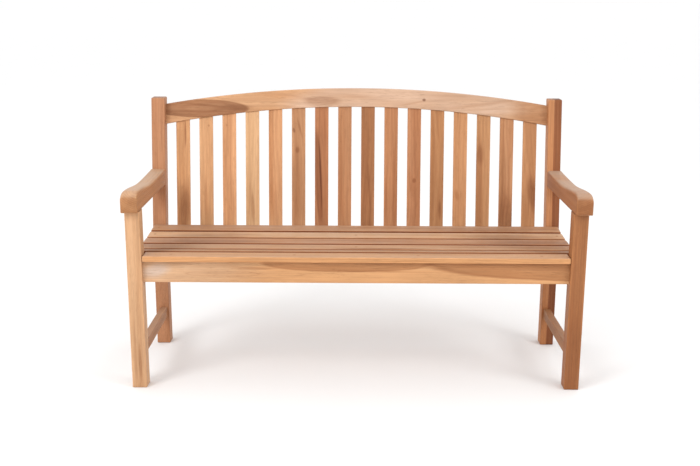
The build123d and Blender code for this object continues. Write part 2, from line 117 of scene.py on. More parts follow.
class Wiring:
    """Adds nodes to one tree and joins them; an input is a plain value or another node's socket."""

    def __init__(self, tree: NodeTree) -> None:
        """Keep the tree that nodes are added to."""
        self.tree = tree

    def node(self, kind: str, inputs: dict[int | str, Value] | None = None, **settings: object) -> Node:
        """Add a node.

        Args:
            kind: Blender's identifier of the node.
            inputs: values or sockets for its inputs, by name or place.
            settings: properties set on the node first.

        Returns:
            The new node.
        """
        made = self.tree.nodes.new(kind)
        for name, value in settings.items():
            setattr(made, name, value)
        for key, value in (inputs or {}).items():
            self.feed(made.inputs[key], value)
        return made

    def feed(self, socket: Socket, value: Value) -> None:
        """Join a socket to another one, or set its own value.

        Args:
            socket: the input to feed.
            value: another node's output, or a number, vector or colour.
        """
        if isinstance(value, Socket):
            self.tree.links.new(value, socket)
        elif socket.type == "RGBA":
            socket.default_value = (*value, 1.0)
        else:
            socket.default_value = value

    def math(self, operation: str, *values: Value, clamp: bool = False) -> Socket:
        """One arithmetic step on one to three numbers."""
        made = self.node("ShaderNodeMath", dict(enumerate(values)), operation=operation, use_clamp=clamp)
        return made.outputs[0]

    def product(self, first: Value, *others: Value) -> Socket:
        """Numbers multiplied together.

        Args:
            first: the first number.
            others: the ones that follow.

        Returns:
            Their product.
        """
        for other in others:
            first = self.math("MULTIPLY", first, other)
        return first

    def length(self, one: Value, other: Value) -> Socket:
        """How long the diagonal over two square sides is."""
        return self.math("SQRT", self.math("ADD", self.product(one, one), self.product(other, other)))

    def vector(self, operation: str, *values: Value) -> Socket:
        """One arithmetic step on one or two vectors."""
        return self.node("ShaderNodeVectorMath", dict(enumerate(values)), operation=operation).outputs[0]

    def scale(self, vector: Value, factor: Value) -> Socket:
        """A vector times a number."""
        return self.node("ShaderNodeVectorMath", {0: vector, "Scale": factor}, operation="SCALE").outputs[0]

    def split(self, vector: Value) -> list[Socket]:
        """The three parts of a vector."""
        return list(self.node("ShaderNodeSeparateXYZ", {0: vector}).outputs)

    def join(self, x: Value, y: Value, z: Value) -> Socket:
        """A vector from three numbers."""
        return self.node("ShaderNodeCombineXYZ", {0: x, 1: y, 2: z}).outputs[0]

    def ease(self, value: Value, low: Value, high: Value, start: float = 0.0, end: float = 1.0) -> Socket:
        """A smooth step from start to end as value goes from low to high."""
        inputs = {0: value, 1: low, 2: high, 3: start, 4: end}
        return self.node("ShaderNodeMapRange", inputs, interpolation_type="SMOOTHSTEP").outputs[0]

    def noise(self, place: Value, scale: float = 1.0, detail: float = 2.0) -> Node:
        """Soft noise, as a number in the first output and as a colour in the second."""
        return self.node("ShaderNodeTexNoise", {"Vector": place, "Scale": scale, "Detail": detail})

    def layer(self, place: Value, layer: Layer, detail: float = 2.0) -> Socket:
        """One layer of figure from 0 to 1, stretched the way that the layer is."""
        return self.noise(self.vector("MULTIPLY", place, layer.value), detail=detail).outputs[0]

    def mix(self, share: Value, first: Value, second: Value, how: str = "MIX") -> Socket:
        """A blend of two colours, by the share of the second."""
        made = self.node("ShaderNodeMix", {0: share, 6: first, 7: second}, data_type="RGBA", blend_type=how)
        return made.outputs[2]

    def tint(self, colour: Value, by: Value) -> Socket:
        """A colour times another one."""
        return self.mix(1.0, colour, by, "MULTIPLY")


class GroupKind(Enum):
    """Shader node groups that the timber materials share."""

    GRAIN = "Teak grain"
    MARK = "Heartwood mark"
    ARRIS = "Sanded arris"
    SIDES = "Faces one way"
    # Painted sheen on upward faces.
    BLOOM = "Sky bleached top"


GroupStart = tuple[NodeTree, Wiring, Sequence[Socket], Sequence[Socket]]


def new_group(kind: GroupKind, inputs: dict[str, str], outputs: dict[str, str]) -> GroupStart:
    """Start a shader node group with its named sockets.

    Args:
        kind: which group it is.
        inputs: each input's name and kind: Float, Vector or Color.
        outputs: the same for the outputs.

    Returns:
        The group, its wiring, the sockets to take from and the sockets to give to.
    """
    group = bpy.data.node_groups.new(kind.value, "ShaderNodeTree")
    for direction, sockets in (("INPUT", inputs), ("OUTPUT", outputs)):
        for name, sort in sockets.items():
            group.interface.new_socket(name=name, in_out=direction, socket_type=f"NodeSocket{sort}")
    wiring = Wiring(group)
    return group, wiring, wiring.node("NodeGroupInput").outputs, wiring.node("NodeGroupOutput").inputs


@dataclass(frozen=True)
class GrainRecipe:
    """How much each layer of the figure counts in the grain."""

    seed_shift: Triple = (7.3, 3.1, 1.7)
    ring_ripple: float = 1.1
    late_falloff: float = 1.6
    late_gain: float = 3.0
    zone_pace: float = 0.31
    zone_warmth: float = 0.6
    streak_warmth: float = 0.5
    pore_darkness: float = 0.45
    pore_roughness: float = 0.15
    fibre_height: float = 0.5
    pore_depth: float = 0.8
    ring_depth: float = 0.25


@dataclass(frozen=True)
class MarkRecipe:
    """How a mark's inside and its outline are drawn."""

    inner_rings: float = 2.6
    ring_paleness: float = 0.88
    rim_place: float = 0.97
    rim_width: float = 0.09
    rim_tint: Rgb = (0.66, 0.55, 0.46)


class TeakNodes:
    """Builds the shared timber groups once and hands them out by kind."""

    def __init__(self) -> None:
        """Build every group."""
        self.groups = {
            GroupKind.GRAIN: self.grain(GrainRecipe()),
            GroupKind.MARK: self.mark(MarkRecipe()),
            GroupKind.ARRIS: self.arris(),
            GroupKind.SIDES: self.sides(),
            GroupKind.BLOOM: self.bloom(),
        }

    def grain(self, recipe: GrainRecipe) -> NodeTree:
        """Growth rings about a wandering pith, with fibre and open pores along the board.

        Args:
            recipe: how much each layer counts.

        Returns:
            The group.
        """
        group, w, take, give = new_group(
            GroupKind.GRAIN,
            {"Place": "Vector", "Pith": "Vector", "Ring width": "Float", "Sway": "Float", "Seed": "Float",
             "Pale": "Color", "Warm": "Color", "Dark": "Color", "Ring strength": "Float"},
            {"Color": "Color", "Roughness": "Float", "Height": "Float"})
        seeded = w.vector("ADD", take["Place"], w.scale(recipe.seed_shift, take["Seed"]))
        wander = w.noise(w.vector("MULTIPLY", seeded, Layer.WANDER.value), detail=1.5)
        drift = w.scale(w.vector("SUBTRACT", wander.outputs["Color"], (0.5, 0.5, 0.5)), take["Sway"])
        from_pith = w.vector("ADD", w.vector("SUBTRACT", take["Place"], take["Pith"]), drift)
        _, across, through = w.split(from_pith)
        rings = w.math("DIVIDE", w.length(across, through), take["Ring width"])
        years = w.math("ADD", rings, w.product(w.layer(seeded, Layer.RIPPLE), recipe.ring_ripple))
        late = w.math("POWER", w.math("PINGPONG", years, 0.5), recipe.late_falloff)
        late = w.math("MULTIPLY", late, recipe.late_gain, clamp=True)
        zone_place = w.join(w.product(years, recipe.zone_pace), take["Seed"], 0.0)
        zones = w.ease(w.noise(zone_place, detail=1.0).outputs[0], 0.36, 0.64)
        streaks = w.layer(seeded, Layer.STREAKS, 3.0)
        fibre = w.layer(seeded, Layer.FIBRE, 3.0)
        clouds = w.layer(seeded, Layer.CLOUDS)
        pores = w.ease(w.layer(seeded, Layer.PORES, 1.0), 0.62, 0.74)
        pores = w.product(pores, w.ease(late, 0.1, 0.7, 1.0, 0.35))

        warmth = w.math("ADD", w.product(zones, recipe.zone_warmth),
                        w.product(streaks, recipe.streak_warmth), clamp=True)
        colour = w.mix(warmth, take["Pale"], take["Warm"])
        lines = w.product(late, take["Ring strength"], w.ease(streaks, 0.3, 0.75, 0.35, 1.0))
        colour = w.mix(lines, colour, take["Dark"])
        shade = w.product(w.ease(fibre, 0.25, 0.75, 0.88, 1.09), w.ease(clouds, 0.3, 0.7, 0.93, 1.06))
        colour = w.tint(colour, w.join(shade, shade, shade))
        w.feed(give["Color"], w.mix(w.product(pores, recipe.pore_darkness), colour, take["Dark"]))

        rough = w.math("ADD", w.ease(fibre, 0.2, 0.8, 0.50, 0.62), w.product(pores, recipe.pore_roughness))
        w.feed(give["Roughness"], rough)
        height = w.math("SUBTRACT", w.product(fibre, recipe.fibre_height),
                        w.product(pores, recipe.pore_depth))
        w.feed(give["Height"], w.math("SUBTRACT", height, w.product(late, recipe.ring_depth)))
        return group

    def mark(self, recipe: MarkRecipe) -> NodeTree:
        """A long oval of darker or paler wood, where the saw ran into or out of a growth ring; a few ovals
        are painted shade and painted shadows instead.

        Args:
            recipe: how its inside and its outline are drawn.

        Returns:
            The group.
        """
        group, w, take, give = new_group(
            GroupKind.MARK,
            {"Color": "Color", "Place": "Vector", "Middle": "Vector", "Reach": "Vector", "Lean": "Float",
             "Softness": "Float", "Waver": "Float", "Stain": "Color", "Strength": "Float", "Rim": "Float"},
            {"Color": "Color"})
        moved = w.vector("SUBTRACT", take["Place"], take["Middle"])
        turned = w.node("ShaderNodeVectorRotate", {"Vector": moved, "Angle": take["Lean"]},
                        rotation_type="Z_AXIS")
        along, across, _ = w.split(turned.outputs[0])
        waver = w.math("SUBTRACT", w.layer(take["Place"], Layer.MARK_EDGE), 0.5)
        across = w.math("ADD", across, w.product(waver, take["Waver"]))
        reach_along, reach_across, _ = w.split(take["Reach"])
        far = w.length(w.math("DIVIDE", along, reach_along), w.math("DIVIDE", across, reach_across))
        inside = w.ease(far, w.math("SUBTRACT", 1.0, take["Softness"]),
                        w.math("ADD", 1.0, take["Softness"]), 1.0, 0.0)
        nested = w.math("PINGPONG", w.product(far, recipe.inner_rings), 0.5)
        strength = w.product(inside, w.ease(nested, 0.0, 0.5, 1.0, recipe.ring_paleness), take["Strength"])
        colour = w.mix(strength, take["Color"], w.tint(take["Color"], take["Stain"]))
        from_rim = w.math("ABSOLUTE", w.math("SUBTRACT", far, recipe.rim_place))
        rim = w.product(w.ease(from_rim, 0.0, recipe.rim_width, 1.0, 0.0), take["Rim"])
        w.feed(give["Color"], w.mix(rim, colour, w.tint(colour, recipe.rim_tint)))
        return group

    def arris(self) -> NodeTree:
        """Paler wood along the long edges, where they were rubbed down.

        Returns:
            The group.
        """
        group, w, take, give = new_group(
            GroupKind.ARRIS,
            {"Color": "Color", "Place": "Vector", "Half size": "Vector", "Width": "Float",
             "Strength": "Float"},
            {"Color": "Color"})
        gap = w.vector("SUBTRACT", take["Half size"], w.vector("ABSOLUTE", take["Place"]))
        _, across, through = w.split(w.vector("ABSOLUTE", gap))
        edge = w.ease(w.math("MAXIMUM", across, through), w.product(take["Width"], 0.3), take["Width"],
                      1.0, 0.0)
        scuffs = w.ease(w.layer(take["Place"], Layer.SCUFFS, 3.0), 0.3, 0.65)
        rubbed = w.product(edge, scuffs, take["Strength"])
        w.feed(give["Color"], w.mix(rubbed, take["Color"], w.tint(take["Color"], RUBBED_EDGE)))
        return group

    def sides(self) -> NodeTree:
        """Another colour on the faces that look along one direction: darker end grain, and painted shade on
        long sides.

        Returns:
            The group.
        """
        group, w, take, give = new_group(
            GroupKind.SIDES,
            {"Color": "Color", "Facing": "Vector", "Direction": "Vector", "Tint": "Color",
             "Strength": "Float"},
            {"Color": "Color"})
        dot = w.node("ShaderNodeVectorMath", {0: take["Facing"], 1: take["Direction"]},
                     operation="DOT_PRODUCT").outputs["Value"]
        facing = w.ease(w.math("ABSOLUTE", dot), 0.55, 0.95)
        share = w.product(facing, take["Strength"])
        w.feed(give["Color"], w.mix(share, take["Color"], w.tint(take["Color"], take["Tint"])))
        return group

    def bloom(self) -> NodeTree:
        """Painted sheen: upward faces greyed in patches, in place of the studio's reflection.

        Returns:
            The group.
        """
        group, w, take, give = new_group(
            GroupKind.BLOOM, {"Color": "Color", "Silver": "Color", "Strength": "Float"}, {"Color": "Color"})
        geometry = w.node("ShaderNodeNewGeometry").outputs
        _, _, up = w.split(geometry["Normal"])
        patches = w.ease(w.layer(geometry["Position"], Layer.SILVERING, 3.0), 0.3, 0.62, 0.45, 1.0)
        share = w.product(w.ease(up, 0.35, 0.95), patches, take["Strength"])
        w.feed(give["Color"], w.mix(share, take["Color"], take["Silver"]))
        return group


# ---------------------------------------------------------------- finishes
def linear(red: int, green: int, blue: int) -> Rgb:
    """A display colour as the linear colour that shaders take.

    Args:
        red: the red part, 0 to 255.
        green: the green part.
        blue: the blue part.

    Returns:
        The three linear parts, 0 to 1.
    """
    def one(part: int) -> float:
        """One part of the colour."""
        share = part / 255
        return share / 12.92 if share <= 0.04045 else ((share + 0.055) / 1.055) ** 2.4
    return one(red), one(green), one(blue)


# Painted sheen: the grey that upward faces take for the studio's reflection.
SHEEN_GREY = linear(170, 152, 136)
END_GRAIN = (0.66, 0.58, 0.52)
# Painted shade for the long sides of the seat slats in the gaps, and for the arms' sides.
GAP_SHADE_TINT = (0.42, 0.22, 0.11)
RUBBED_EDGE = (1.28, 1.25, 1.2)


class Stain(Enum):
    """What a mark does to the colour of the wood round it."""

    FAINT = (0.82, 0.74, 0.67)
    HEART = (0.64, 0.52, 0.43)
    DEEP = (0.45, 0.32, 0.24)
    KNOT = (0.32, 0.20, 0.14)
    PALE = (1.22, 1.32, 1.42)
    BLANCHED = (0.99, 1.20, 1.62)


@dataclass(frozen=True)
class Tone:
    """One board's colours, all drawn from its middling colour as it displays."""

    red: int
    green: int
    blue: int

    def scaled(self, *shares: float) -> Rgb:
        """The middling colour with each part scaled."""
        return tuple(part * share for part, share in zip(linear(self.red, self.green, self.blue), shares))

    @property
    def pale(self) -> Rgb:
        """Early wood."""
        return self.scaled(1.10, 1.13, 1.08)

    @property
    def warm(self) -> Rgb:
        """Wood nearer the heart."""
        return self.scaled(0.87, 0.80, 0.67)

    @property
    def dark(self) -> Rgb:
        """Late rings and pores."""
        return self.scaled(0.56, 0.42, 0.31)


@dataclass(frozen=True)
class Mark:
    """A patch of figure, painted shade or painted shadow on a board, in metres and degrees from the board's
    middle.
    """

    along: float
    across: float
    reach_along: float
    reach_across: float
    stain: Stain
    strength: float = 0.8
    softness: float = 0.25
    waver: float = 0.006
    lean: float = 0.0
    rim: float = 0.0


@dataclass(frozen=True)
class Timber:
    """How one board was sawn and what shows on it."""

    tone: Tone
    seed: float
    pith: Triple = (0.0, 0.16, 0.05)
    ring_width: float = 0.007
    ring_strength: float = 0.32
    sway: float = 0.05
    marks: tuple[Mark, ...] = ()
    # Painted sheen on upward faces, in patches.
    bleach: float = 0.35
    edge_rub: float = 0.6
    # Painted shade on the long sides, as in the seat's gaps.
    gap_grime: float = 0.0


@dataclass(frozen=True)
class Lie:
    """Where a board's middle is and which way it lies: along its grain, across it and through it."""

    middle: Vector
    along: Vector
    across: Vector
    half_size: Vector = FAR_EDGES

    @property
    def turn(self) -> Euler:
        """The board's own axes as a rotation."""
        through = self.along.cross(self.across)
        return Matrix((self.along, self.across, through)).transposed().to_euler()


@dataclass
class Carpenter:
    """Makes a board's own material out of the shared groups."""

    nodes: TeakNodes
    edge_width: float = 0.005
    end_darkening: float = 0.85
    relief: float = 0.7
    relief_depth: float = 0.0008
    sheen: float = 0.28

    def teak(self, name: str, timber: Timber, lie: Lie) -> Material:
        """A teak material that is fixed to one board.

        Args:
            name: the board's name in words.
            timber: how the board was sawn.
            lie: where the board is.

        Returns:
            The new material.
        """
        material, w = self.blank(f"Teak {name}")
        place = self.in_board(w, w.node("ShaderNodeTexCoord").outputs["Object"], lie)
        facing = self.in_board(w, w.node("ShaderNodeNewGeometry").outputs["Normal"], lie, normal=True)
        grain = self.group(w, GroupKind.GRAIN, {
            "Place": place, "Pith": timber.pith, "Ring width": timber.ring_width, "Sway": timber.sway,
            "Seed": timber.seed, "Pale": timber.tone.pale, "Warm": timber.tone.warm,
            "Dark": timber.tone.dark, "Ring strength": timber.ring_strength})
        # Painted sheen: upward faces turn grey in patches.
        colour = self.group(w, GroupKind.BLOOM, {
            "Color": grain["Color"], "Silver": SHEEN_GREY, "Strength": timber.bleach})["Color"]
        for mark in timber.marks:
            colour = self.group(w, GroupKind.MARK, {
                "Color": colour, "Place": place, "Middle": (mark.along, mark.across, 0.0),
                "Reach": (mark.reach_along, mark.reach_across, 1.0), "Lean": radians(mark.lean),
                "Softness": mark.softness, "Waver": mark.waver, "Stain": mark.stain.value,
                "Strength": mark.strength, "Rim": mark.rim})["Color"]
        colour = self.group(w, GroupKind.ARRIS, {
            "Color": colour, "Place": place, "Half size": lie.half_size, "Width": self.edge_width,
            "Strength": timber.edge_rub})["Color"]
        # Ends darken as end grain; the long sides take painted shade.
        for direction, tint, strength in ((X_AXIS, END_GRAIN, self.end_darkening),
                                          (Y_AXIS, GAP_SHADE_TINT, timber.gap_grime)):
            if strength:
                colour = self.group(w, GroupKind.SIDES, {
                    "Color": colour, "Facing": facing, "Direction": direction, "Tint": tint,
                    "Strength": strength})["Color"]
        bump = w.node("ShaderNodeBump", {"Strength": self.relief, "Distance": self.relief_depth,
                                         "Height": grain["Height"]})
        shader = w.node("ShaderNodeBsdfPrincipled", {
            "Base Color": colour, "Roughness": grain["Roughness"], "Normal": bump.outputs[0],
            "Specular IOR Level": self.sheen})
        w.node("ShaderNodeOutputMaterial", {"Surface": shader.outputs[0]})
        return material

    def steel(self) -> Material:
        """Plain stainless steel with fine turning lines.

        Returns:
            The new material.
        """
        material, w = self.blank("Stainless screw steel")
        lines = w.layer(w.node("ShaderNodeTexCoord").outputs["Object"], Layer.TURNING)
        bump = w.node("ShaderNodeBump", {"Strength": 0.4, "Distance": 0.0002, "Height": lines})
        shader = w.node("ShaderNodeBsdfPrincipled", {
            "Base Color": w.mix(lines, (0.50, 0.49, 0.47), (0.66, 0.65, 0.63)),
            "Roughness": w.ease(lines, 0.2, 0.8, 0.24, 0.4), "Normal": bump.outputs[0], "Metallic": 1.0})
        w.node("ShaderNodeOutputMaterial", {"Surface": shader.outputs[0]})
        return material

    def blank(self, name: str) -> tuple[Material, Wiring]:
        """Start a material.

        Args:
            name: the material's name.

        Returns:
            The material, with no nodes yet, and the wiring of its tree.
        """
        material = bpy.data.materials.new(name)
        material.use_nodes = True
        material.node_tree.nodes.clear()
        return material, Wiring(material.node_tree)

    def in_board(self, w: Wiring, vector: Value, lie: Lie, normal: bool = False) -> Socket:
        """Turn a place or a normal of the bench into the board's own.

        Args:
            w: the material's wiring.
            vector: the place or the normal.
            lie: where the board is.
            normal: whether it is a normal, which turns but doesn't move.

        Returns:
            The vector along, across and through the board.
        """
        inputs = {"Vector": vector, "Rotation": lie.turn}
        if not normal:
            inputs["Location"] = lie.middle
        return w.node("ShaderNodeMapping", inputs, vector_type="TEXTURE").outputs[0]

    def group(self, w: Wiring, kind: GroupKind, inputs: dict[str, Value]) -> Sequence[Socket]:
        """Place one of the shared groups.

        Args:
            w: the material's wiring.
            kind: which group.
            inputs: what it is fed, by name.

        Returns:
            The group's outputs.
        """
        return w.node("ShaderNodeGroup", inputs, node_tree=self.nodes.groups[kind]).outputs


# ---------------------------------------------------------------- how each board looks
FRONT_LEG_TIMBERS = {
    Side.LEFT: Timber(Tone(195, 152, 118), 1.3, pith=(0, 0.09, 0.10), ring_strength=0.25, marks=(
        Mark(-0.21, 0.0045, 0.06, 0.005, Stain.HEART, 0.7, 0.5, 0.004),
        Mark(-0.17, -0.010, 0.13, 0.004, Stain.FAINT, 0.8, 0.5, 0.004))),
    Side.RIGHT: Timber(Tone(161, 107, 69), 2.7, pith=(0, -0.12, 0.06), ring_strength=0.35, marks=(
        # Painted shade: the lower part of the leg darker, for less light from the floor.
        Mark(-0.20, 0.0, 0.18, 0.034, Stain.FAINT, 1.0, 0.6, 0.004),
        Mark(0.05, -0.014, 0.20, 0.005, Stain.FAINT, 0.8, 0.5, 0.006))),
}
BACK_POST_TIMBERS = {
    Side.LEFT: Timber(Tone(177, 126, 94), 3.9, pith=(0, 0.10, 0.09), ring_strength=0.25, marks=(
        # Painted shade: the lower part of the post darker, under the seat.
        Mark(-0.45, 0.0, 0.36, 0.05, Stain.FAINT, 0.4, 0.5, 0.004),
        Mark(0.22, 0.0, 0.20, 0.05, Stain.FAINT, 0.4, 0.6, 0.004),
        # Painted shadow of the arm on the post, just under it.
        Mark(-0.10, 0.014, 0.05, 0.016, Stain.HEART, 0.7, 0.7, 0.004))),
    Side.RIGHT: Timber(Tone(189, 132, 92), 5.2, pith=(0, -0.11, 0.09), ring_strength=0.3, marks=(
        Mark(0.0, 0.028, 3.0, 0.031, Stain.DEEP, 1.0, 0.06, 0.003),
        # Painted shade: the lower part of the post darker, under the seat.
        Mark(-0.5, 0.0, 0.34, 0.05, Stain.FAINT, 0.7, 0.4, 0.004))),
}
# The arms' long sides take painted shade, and their tops painted sheen.
ARM_TIMBERS = {
    Side.LEFT: Timber(Tone(194, 144, 103), 6.1, pith=(0, 0.05, -0.10), ring_width=0.006, sway=0.03,
                      ring_strength=0.6, bleach=0.55, gap_grime=0.35),
    Side.RIGHT: Timber(Tone(176, 122, 82), 7.7, pith=(0, -0.04, -0.11), ring_width=0.006, sway=0.03,
                       ring_strength=0.6, bleach=0.6, gap_grime=0.3),
}
CREST_TIMBER = Timber(
    Tone(200, 154, 119), 21.0, pith=(0, 0.02, -0.12), sway=0.06, ring_strength=0.3, bleach=0.25, marks=(
        Mark(0.175, -0.030, 0.42, 0.095, Stain.BLANCHED, 0.9, 0.16, 0.012),
        Mark(-0.564, -0.042, 0.173, 0.032, Stain.DEEP, 0.8, 0.08, 0.006, rim=0.5),
        Mark(-0.435, -0.0365, 0.058, 0.0105, Stain.HEART, 0.5, 0.4, 0.004),
        Mark(-0.601, -0.052, 0.144, 0.0045, Stain.FAINT, 0.7, 0.5, 0.004),
        Mark(-0.56, -0.028, 0.11, 0.004, Stain.FAINT, 0.7, 0.5, 0.004, 5),
        Mark(-0.276, 0.004, 0.108, 0.007, Stain.FAINT, 0.6, 0.6, 0.006, 6),
        Mark(-0.125, -0.014, 0.062, 0.017, Stain.HEART, 0.72, 0.32, 0.008),
        Mark(0.243, -0.008, 0.006, 0.005, Stain.KNOT, 0.85, 0.4, 0.001),
        Mark(0.20, -0.020, 0.05, 0.003, Stain.FAINT, 0.7, 0.6, 0.003, -10),
        Mark(0.67, -0.055, 0.10, 0.08, Stain.HEART, 0.6, 0.35, 0.006),
        Mark(0.45, -0.024, 0.16, 0.005, Stain.FAINT, 0.5, 0.6, 0.004, -8),
        Mark(0.02, 0.0, 0.12, 0.004, Stain.FAINT, 0.5, 0.6, 0.004)))
APRON_EDGE = 0.032  # from the apron's middle to its top edge, where its dark wood lies
RAIL_TIMBERS = {
    "front_apron": Timber(
        Tone(201, 151, 109), 51.0, pith=(0, -0.02, -0.12), sway=0.05, ring_strength=0.22, marks=(
            Mark(-0.03, APRON_EDGE, 0.275, 0.030, Stain.HEART, 0.8, 0.09, 0.006, rim=0.45),
            Mark(0.84, APRON_EDGE, 0.61, 0.060, Stain.HEART, 0.88, 0.05, 0.006, rim=0.45),
            Mark(-0.325, APRON_EDGE - 0.020, 0.064, 0.004, Stain.HEART, 0.6, 0.5, 0.003),
            Mark(0.044, APRON_EDGE - 0.028, 0.16, 0.0023, Stain.HEART, 0.5, 0.5, 0.004),
            Mark(-0.62, 0.0, 0.26, 0.055, Stain.BLANCHED, 0.75, 0.5, 0.010),
            Mark(-0.645, 0.004, 0.040, 0.020, Stain.BLANCHED, 1.0, 0.6, 0.008, -12),
            Mark(-0.43, -0.006, 0.12, 0.010, Stain.FAINT, 0.4, 0.6, 0.010, rim=0.35))),
    "rear_seat_rail": Timber(Tone(184, 130, 88), 52.0),
    "centre_seat_bearer": Timber(Tone(164, 112, 74), 53.0),
    "left_side_seat_rail": Timber(Tone(176, 124, 84), 54.0),
    "right_side_seat_rail": Timber(Tone(158, 106, 70), 55.0),
    "left_lower_stretcher": Timber(Tone(168, 120, 86), 56.0, bleach=0.25),
    "right_lower_stretcher": Timber(Tone(158, 108, 70), 57.0, bleach=0.15),
}
PEG_TIMBER = Timber(Tone(165, 114, 76), 61.0, bleach=0.2)

# One row for each seat slat, from the front: its colour, the strength of painted shade on its long sides in
# the gaps, and its figure, with painted shadows of the arms on slats 2 to 5.
SEAT_LOOKS = (
    (Tone(196, 144, 101), 0.0, (
        Mark(0.30, 0.010, 0.20, 0.006, Stain.FAINT, 0.7, 0.6, 0.006),
        Mark(-0.35, -0.004, 0.25, 0.005, Stain.FAINT, 0.7, 0.6, 0.006),
        Mark(0.0, 0.024, 0.70, 0.010, Stain.FAINT, 0.5, 0.5, 0.006),
        Mark(-0.705, 0.0, 0.030, 0.030, Stain.BLANCHED, 1.0, 0.5, 0.006))),
    (Tone(178, 128, 88), 0.85, (
        Mark(0.05, 0.010, 0.14, 0.004, Stain.HEART, 0.6, 0.5, 0.004),
        Mark(0.0, 0.020, 0.72, 0.014, Stain.FAINT, 0.8, 0.6, 0.006),
        # Painted shadows of the arms at both ends of the slat.
        Mark(-0.68, 0.0, 0.09, 0.035, Stain.DEEP, 0.5, 0.7, 0.006),
        Mark(0.68, 0.0, 0.09, 0.035, Stain.DEEP, 0.5, 0.7, 0.006))),
    (Tone(190, 142, 104), 0.75, (
        Mark(0.08, -0.021, 0.15, 0.008, Stain.HEART, 0.9, 0.5, 0.004),
        Mark(0.45, 0.0, 0.20, 0.008, Stain.FAINT, 0.7, 0.5, 0.006),
        # Painted shadows of the arms at both ends of the slat.
        Mark(-0.69, 0.0, 0.12, 0.035, Stain.DEEP, 0.5, 0.8, 0.006),
        Mark(0.69, 0.004, 0.14, 0.035, Stain.DEEP, 0.5, 0.8, 0.006))),
    (Tone(174, 120, 82), 0.95, (
        Mark(0.02, 0.004, 0.22, 0.010, Stain.FAINT, 0.8, 0.5, 0.008),
        # Painted shadows of the arms, towards the left and right ends.
        Mark(-0.50, -0.012, 0.16, 0.022, Stain.DEEP, 0.5, 0.7, 0.008),
        Mark(0.60, -0.010, 0.16, 0.022, Stain.HEART, 0.7, 0.7, 0.008))),
    (Tone(200, 156, 120), 0.75, (
        Mark(0.35, 0.0, 0.28, 0.010, Stain.FAINT, 0.7, 0.6, 0.008),
        # Painted shadows of the arms, towards the left and right ends.
        Mark(-0.48, -0.010, 0.12, 0.020, Stain.HEART, 0.6, 0.7, 0.008),
        Mark(0.52, -0.014, 0.14, 0.018, Stain.HEART, 0.8, 0.7, 0.008))),
    (Tone(176, 124, 84), 1.0, (
        Mark(0.2, 0.004, 0.30, 0.007, Stain.FAINT, 0.8, 0.5, 0.008),
        Mark(0.44, -0.018, 0.16, 0.012, Stain.HEART, 0.7, 0.6, 0.006),
        Mark(-0.3, -0.012, 0.24, 0.005, Stain.FAINT, 0.8, 0.5, 0.006))),
)

